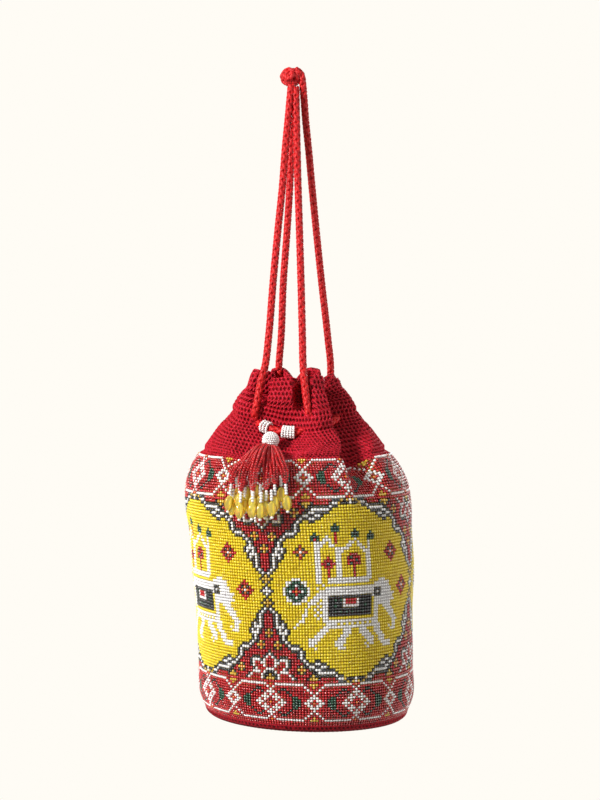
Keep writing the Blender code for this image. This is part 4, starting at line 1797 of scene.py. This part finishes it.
@dataclass
class BeadTrim:
    """Beaded wraps on the ring of cord, the tassel's ball, strands and petal drops.

    Attributes:
        wall: the wall that they hang on.
        ball_place: middle of the ball, in millimetres.
        wraps: side, azimuth and length of each wrap.
        strands: strands of beads in one lock.
        skirt_head: where the locks start, in millimetres from the ball's middle.
    """

    wall: Wall
    ball_place: Place = (-15.3, -43.0, -275.0)
    ball_diameter: float = 12.6 * MM
    ball_bead: float = 1.6 * MM
    ball_bead_depth: float = 1.44 * MM
    ball_bead_inset: float = 0.55 * MM
    wrap_diameter: float = 9.5 * MM
    wrap_bead: float = 2.1 * MM
    wrap_bead_height: float = 2.08 * MM
    wrap_bead_depth: float = 2.1 * MM
    wrap_bead_inset: float = 0.9 * MM
    wrap_beads_round: int = 14
    wraps: tuple = (("left", -37.5, 7.0 * MM), ("right", -7.4, 9.5 * MM))
    drop_length: float = 20.6 * MM
    drop_width: float = 7.2 * MM
    drop_thickness: float = 4.0 * MM
    layer_step: float = 4.5 * MM
    skirt_head: Place = (0.0, -8.7, -4.0)
    skirt_knee: float = -281.8 * MM
    skirt_brow: float = -290.5 * MM
    strand_bead: float = 1.75 * MM
    strands: int = 3
    drop_lift: float = 8.0 * MM
    wall_swell: float = 1.055
    drop_curve: float = 0.55
    # Bends of a lock on its way to its drop: share of the way across, then for the knee the share
    # of the way out, for the brow its distance as a share of the drop's, for the low end the share
    # of the way down from the brow
    knee_shares: tuple = (0.3, 0.42)
    brow_shares: tuple = (0.62, 0.9)
    low_shares: tuple = (0.95, 0.55)
    # Half width and depth of a lock in millimetres at shares of its length
    width_shares: tuple = (0.0, 0.2, 0.6, 0.9, 1.0)
    lock_widths: tuple = (0.9, 1.6, 2.7, 1.9, 0.6)
    depth_shares: tuple = (0.0, 0.3, 0.8, 1.0)
    lock_depths: tuple = (0.2, 0.8, 0.9, 0.2)
    strand_shake: float = 0.06 * MM
    seed: int = 5
    stack_bead: float = 1.3 * MM
    # Shares of a drop's length: height of a stacked bead, the petal's middle and half length, and
    # the half length of the stripe in it
    stack_height: float = 0.098
    petal_share: float = 0.655
    petal_half: float = 0.27
    stripe_half: float = 0.235
    stripe_radius: float = 0.95 * MM
    stripe_shift: float = 0.16
    petal_taper: float = 0.25
    # Share of the way down a drop and relative size of each stacked bead
    stack_beads: tuple = ((0.04, 0.96), (0.135, 1.04), (0.23, 1.0), (0.325, 0.92), (0.95, 1.0))
    # across, down and lean in millimetres, layer counted from the wall
    drops: tuple = (
        (-42.2, 311.5, -2.6, 1), (-38.7, 306.5, 1.4, 0), (-32.4, 313.5, -1.6, 1), (-24.7, 303.0, -1.2, 0),
        (-27.9, 311.0, 1.0, 1), (-16.7, 308.0, -3.4, 0), (-17.4, 315.5, -1.2, 1), (-11.7, 311.5, 0.5, 1),
        (-4.1, 311.0, 1.6, 1), (-35.2, 316.5, -1.4, 2), (-26.8, 316.0, -1.0, 2), (-7.6, 305.5, 1.0, 0),
    )
    # Drops between those of the solid model
    more_drops: tuple = (
        (-40.6, 315.0, -1.8, 0.6), (-36.0, 310.0, -0.8, 1.5), (-30.0, 305.5, -2.6, 0.5),
        (-21.4, 311.5, -2.0, 0.5), (-14.0, 315.0, 0.4, 1.4), (-21.0, 316.5, -1.0, 1.6),
    )

    def build(self) -> list[Piece]:
        """All the trim.

        Returns:
            The pieces.
        """
        pieces = [self.build_wrap(*wrap) for wrap in self.wraps]
        pieces.append(self.build_ball())
        pieces.append(self.build_skirt())
        for index, row in enumerate(self.drops, start=1):
            pieces.append(self.build_drops(f"petal_drop_{index:02d}", [row]))
            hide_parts(f"tassel_drop_{index:02d}")
        pieces.append(self.build_drops("petal_drops_more", self.more_drops))
        return pieces

    def build_wrap(self, side: str, azimuth: float, length: float) -> Piece:
        """Rows of white beads wound round the ring of cord.

        Args:
            side: left or right.
            azimuth: its middle on the ring.
            length: its length along the ring.

        Returns:
            The new object.
        """
        bead = self.wrap_bead
        half_turn = math.degrees(0.5 * (length - bead) / self.wall.ring_radius)
        places, axes = [], []
        for column in np.linspace(-half_turn, half_turn, max(round(length / bead), 2)):
            middle = self.wall.ring_point(np.array(azimuth + column))
            along = unit(self.wall.ring_point(np.array(azimuth + column + 0.5)) - middle)
            side_way = unit(np.cross(along, [0.0, 0.0, 1.0]))
            up_way = np.cross(side_way, along)
            for turn in full_turn(self.wrap_beads_round, 0.3 * column):
                out = side_way * math.cos(turn) + up_way * math.sin(turn)
                places.append(middle + out * (0.5 * self.wrap_diameter - self.wrap_bead_inset))
                axes.append([along, np.cross(out, along), out])
        half = [0.54 * bead, 0.5 * self.wrap_bead_height, 0.5 * self.wrap_bead_depth]
        halves = np.tile(half, (len(places), 1))
        wrap = stamped(f"wrap_beads_{side}", ball_stamp(8, 3), np.array(places), np.array(axes), halves)
        wrap.data.materials.append(MATERIALS[Bead.WHITE])
        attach(wrap, ROOT)
        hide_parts(f"bead_ring_{side}")
        return wrap

    def build_ball(self) -> Piece:
        """Ball covered in rows of small white beads.

        Returns:
            The new object.
        """
        bead = self.ball_bead
        radius = 0.5 * self.ball_diameter - self.ball_bead_inset
        middle = np.array(self.ball_place) * MM
        places, axes, halves = [middle], [np.eye(3)], [np.full(3, radius - 0.3 * MM)]
        rows = round(math.pi * radius / (0.93 * bead))
        for row in range(rows):
            tip = -0.5 * math.pi + math.pi * (row + 0.5) / rows
            count = max(round(TAU * radius * math.cos(tip) / bead), 1)
            for turn in full_turn(count, 0.5 * (row % 2)):
                flat = np.array([math.cos(turn), math.sin(turn), 0.0])
                out = flat * math.cos(tip) + [0.0, 0.0, math.sin(tip)]
                across = np.array([-flat[1], flat[0], 0.0])
                places.append(middle + out * radius)
                axes.append([across, np.cross(out, across), out])
                halves.append(np.array([0.55 * bead, 0.5 * bead, 0.5 * self.ball_bead_depth]))
        places, axes, halves = np.array(places), np.array(axes), np.array(halves)
        ball = stamped("tassel_ball_beads", ball_stamp(8, 3), places, axes, halves)
        ball.data.materials.append(MATERIALS[Bead.WHITE])
        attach(ball, ROOT)
        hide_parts("tassel_ball")
        return ball

    def drop_top(self, row: Sequence[float]) -> Array:
        """Top of a drop in its layer.

        Args:
            row: the drop's row of the table.

        Returns:
            The point.
        """
        across, down, _, layer = row
        widest = self.wall.body_radius * self.wall_swell
        clear = widest + 0.5 * self.drop_thickness + layer * self.layer_step
        x = across * MM
        out = math.sqrt(clear * clear - x * x * self.drop_curve)
        return np.array([x, -out, self.drop_lift - down * MM])

    def lock_route(self, row: Sequence[float]) -> Array:
        """Route of one lock of strands, from under the ball to its drop.

        Args:
            row: the row of its drop.

        Returns:
            Five points from top to end.
        """
        ball = np.array(self.ball_place) * MM
        end = self.drop_top(row)
        layer = row[3] * self.layer_step
        spread = 0.08 * (end[0] - ball[0])
        rise = 0.03 * (end[2] - ball[2])
        top = ball + np.array(self.skirt_head) * MM + [spread, -0.1 * layer, -rise - 0.6 * MM]
        knee, brow, low = (
            mixed(top[0], end[0], shares[0])
            for shares in (self.knee_shares, self.brow_shares, self.low_shares)
        )
        knee_out = mixed(top[1], end[1], self.knee_shares[1])
        brow_up = self.skirt_brow + 0.8 * layer
        return np.array([
            top, [knee, knee_out, self.skirt_knee + 0.5 * layer],
            [brow, self.brow_shares[1] * end[1] - 0.2 * layer, brow_up],
            [low, end[1], mixed(brow_up, end[2], self.low_shares[1])], end,
        ])

    def build_skirt(self) -> Piece:
        """Strands of small red beads, a few to a lock.

        Returns:
            The new object.
        """
        draw = np.random.default_rng(self.seed)
        places, axes = [], []
        for row in self.drops:
            route = self.lock_route(row)
            along = lengths_along(route)
            table = np.column_stack([along, route])
            for strand in range(self.strands):
                offset = 2.0 * strand / (self.strands - 1) - 1.0
                count = int(along[-1] / self.strand_bead)
                shares = (np.arange(count) + 0.5 * (strand % 2)) / count
                line = smooth_rows(table, shares * along[-1])[:, 1:]
                width = np.interp(shares, self.width_shares, self.lock_widths) * MM
                depth = np.interp(shares, self.depth_shares, self.lock_depths) * MM
                line = line + np.outer(offset * width, [1.0, 0.0, 0.0])
                line = line + np.outer(depth * (1.0 if abs(offset) < 0.5 else -0.4), [0.0, -0.7, 0.7])
                line = line + draw.normal(0.0, self.strand_shake, line.shape)
                direction = unit(np.gradient(line, axis=0))
                side = unit(np.cross(direction, [0.0, -0.6, 0.8]))
                places.append(line)
                axes.append(np.stack([side, np.cross(direction, side), direction], axis=1))
        places, axes = np.vstack(places), np.vstack(axes)
        halves = np.tile([0.62 * self.strand_bead] * 2 + [0.52 * self.strand_bead], (len(places), 1))
        skirt = stamped("tassel_strands", ball_stamp(6, 2), places, axes, halves)
        skirt.data.materials.append(MATERIALS["strand"])
        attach(skirt, ROOT)
        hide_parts("tassel_skirt")
        LOG.info("tassel_strands: %d beads", len(places))
        return skirt

    def build_drops(self, name: str, rows: Sequence[Sequence[float]]) -> Piece:
        """Threads with white beads, a clear yellow petal and an end bead, as one piece.

        Args:
            name: the piece's name.
            rows: place, lean and layer of each drop.

        Returns:
            The new object.
        """
        stack, petal, core = ball_stamp(8, 4), ball_stamp(14, 9), ball_stamp(6, 3)
        petal.points[:, :2] *= 1.0 - self.petal_taper * np.abs(petal.points[:, 2:]) ** 1.5
        points, faces, slots, shades = [], [], [], []

        def add(stamp: Stamp, middle: Array, half: Sequence[float], slot: int, shade: Array | float) -> None:
            """Join one small shape to the piece, with the axes of its drop.

            Args:
                stamp: the shape.
                middle: its place.
                half: its half sizes.
                slot: its material slot.
                shade: its points' relief.
            """
            offset = sum(len(block) for block in points)
            points.append(middle + (stamp.points * half) @ axes)
            faces.extend(tuple(offset + i for i in face) for face in stamp.faces)
            slots.extend([slot] * len(stamp.faces))
            shades.append(np.broadcast_to(shade, len(stamp.points)))

        for row in rows:
            top = self.drop_top(row)
            lean = row[2] * MM
            drop = np.array([lean, 0.0, -math.sqrt(self.drop_length**2 - lean**2)])
            down = unit(drop)
            side = unit(np.cross([0.0, 1.0, 0.0], down))
            axes = np.array([side, np.cross(down, side), down])
            for share, size in self.stack_beads:
                wide = self.stack_bead * size
                half = [wide, wide, 0.5 * self.stack_height * self.drop_length]
                add(stack, top + drop * share, half, 0, 0.0)
            middle = top + drop * self.petal_share
            half = [0.5 * self.drop_width, 0.5 * self.drop_thickness, self.petal_half * self.drop_length]
            # The petal's relief paints its middle pale as a highlight and its side edges amber as shade
            add(petal, middle, half, 1, np.abs(petal.points[:, 0]) ** 2.0)
            half = [self.stripe_radius, self.stripe_radius, self.stripe_half * self.drop_length]
            add(core, middle - side * self.stripe_shift * self.drop_width, half, 2, 0.0)
        drops = mesh_object(name, np.vstack(points), faces=faces, slots=np.array(slots))
        add_shade(drops, "relief", np.concatenate(shades))
        for material in (MATERIALS[Bead.WHITE], MATERIALS["petal"], MATERIALS[Bead.YELLOW]):
            drops.data.materials.append(material)
        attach(drops, ROOT)
        return drops


# Studio


@dataclass
class Studio:
    """Pale backdrop, soft light and the camera at the photo's angle.

    Attributes:
        focal_pixels: focal length in pixels of the 600 by 800 picture.
        picture_height: height of the picture in pixels.
        place: where the camera stands.
        tip: how far it looks down, in degrees.
        aim: where the lights point.
        pale: linear colour of the backdrop.
    """

    focal_pixels: float = 1859.0
    picture_height: float = 800.0
    place: Place = (0.006, -1.387, -0.2018)
    tip: float = 1.88
    aim: Place = (0.0, 0.0, -0.35)
    pale: Colour = linear(255, 252, 245)
    # Each light's name, place, size and power
    lights: tuple = (
        ("key", (-1.15, -0.84, 0.37), 0.42, 33.0), ("fill", (1.57, -0.2, -0.1), 0.9, 9.5),
        ("top", (-0.2, 0.3, 1.2), 1.0, 5.0), ("back", (0.5, 1.6, 0.2), 0.9, 12.0),
    )
    # Radius and height of each ring of the backdrop
    paper: tuple = ((0.01, -0.62), (1.6, -0.62), (2.0, -0.55), (2.3, -0.3), (2.4, 0.2), (2.4, 2.2))

    def build(self) -> None:
        """Camera, lights and backdrop."""
        self.build_camera()
        self.build_lights()
        self.build_backdrop()

    def build_camera(self) -> None:
        """Camera with the photo's frame."""
        lens = bpy.data.cameras.new("studio_camera")
        lens.sensor_fit = "VERTICAL"
        lens.sensor_height = 36.0
        lens.lens = self.focal_pixels / self.picture_height * lens.sensor_height
        camera = bpy.data.objects.new("studio_camera", lens)
        camera.location = self.place
        camera.rotation_euler = (math.radians(90.0 - self.tip), 0.0, 0.0)
        bpy.context.scene.collection.objects.link(camera)
        bpy.context.scene.camera = camera

    def build_lights(self) -> None:
        """Soft key from the left, weaker fill from the right, light from above and behind."""
        for name, place, size, power in self.lights:
            light = bpy.data.lights.new(name, "AREA")
            light.shape = "DISK"
            light.size = size
            light.energy = power
            lamp = bpy.data.objects.new(name, light)
            lamp.location = place
            lamp.rotation_euler = (Vector(self.aim) - Vector(place)).to_track_quat("-Z", "Y").to_euler()
            bpy.context.scene.collection.objects.link(lamp)
        world = bpy.data.worlds.new("studio")
        world.use_nodes = True
        sky = world.node_tree.nodes["Background"]
        sky.inputs["Color"].default_value = (*self.pale, 1.0)
        sky.inputs["Strength"].default_value = 0.25
        bpy.context.scene.world = world
        bpy.context.scene.view_settings.view_transform = "Standard"

    def build_backdrop(self) -> None:
        """One sweep of pale paper: floor, curve and wall, all round."""
        columns = 48
        turns = full_turn(columns)
        rings = [
            np.stack([radius * np.sin(turns), radius * np.cos(turns), np.full(columns, height)], axis=1)
            for radius, height in self.paper
        ]
        faces = [*grid_faces(len(rings), columns), np.arange(columns)[::-1]]
        paper = mesh_object("backdrop", np.vstack(rings), faces)
        nodes = Nodes("paper", {
            "Emission Color": (*self.pale, 1.0), "Emission Strength": 1.0, "Roughness": 1.0,
            "Base Color": (0.0, 0.0, 0.0, 1.0), "Specular IOR Level": 0.0,
        })
        paper.data.materials.append(nodes.material)
        paper.visible_shadow = False
        paper.visible_diffuse = False


MATERIALS: dict[Bead | str, Material] = {}


def make_materials() -> None:
    """Finishes that several pieces share."""
    for bead, finish in BEAD_FINISHES.items():
        MATERIALS[bead] = finish.material()
    MATERIALS["cord"] = CORD_YARN.material()
    MATERIALS["petal"] = PetalGlass().material()
    strand = GlassBeads("strand_red", linear(156, 0, 12), linear(198, 4, 18), 0.42, 0.15)
    MATERIALS["strand"] = strand.material()


def main() -> None:
    """Build the studio and every piece of the bag."""
    logging.basicConfig(level=logging.INFO, format="%(name)s %(message)s")
    make_materials()
    Studio().build()
    wall = Wall()
    trim = BeadTrim(wall)
    wall.pressing = [(np.array(trim.ball_place) * MM, 0.5 * trim.ball_diameter)]
    for _, azimuth, length in trim.wraps:
        radius = math.hypot(0.5 * trim.wrap_diameter, 0.4 * length)
        wall.pressing.append((wall.ring_point(np.array(azimuth)), radius))
    cords = Cords(wall, Braid())
    stitches = CrochetStitches()
    strands = [Braid().spaced(cords.strand_path(side)) for side in STRAND_ROUTES]
    for pieces in (
        cords.build(), BeadedBody(wall, BeadChart()).build(), [Collar(wall, stitches, strands).build()],
        [Base(wall, stitches).build()], trim.build(),
    ):
        for piece in pieces:
            LOG.info("%s: %d faces", piece.name, len(piece.data.polygons))


if __name__ == "__main__":
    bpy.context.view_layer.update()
    main()
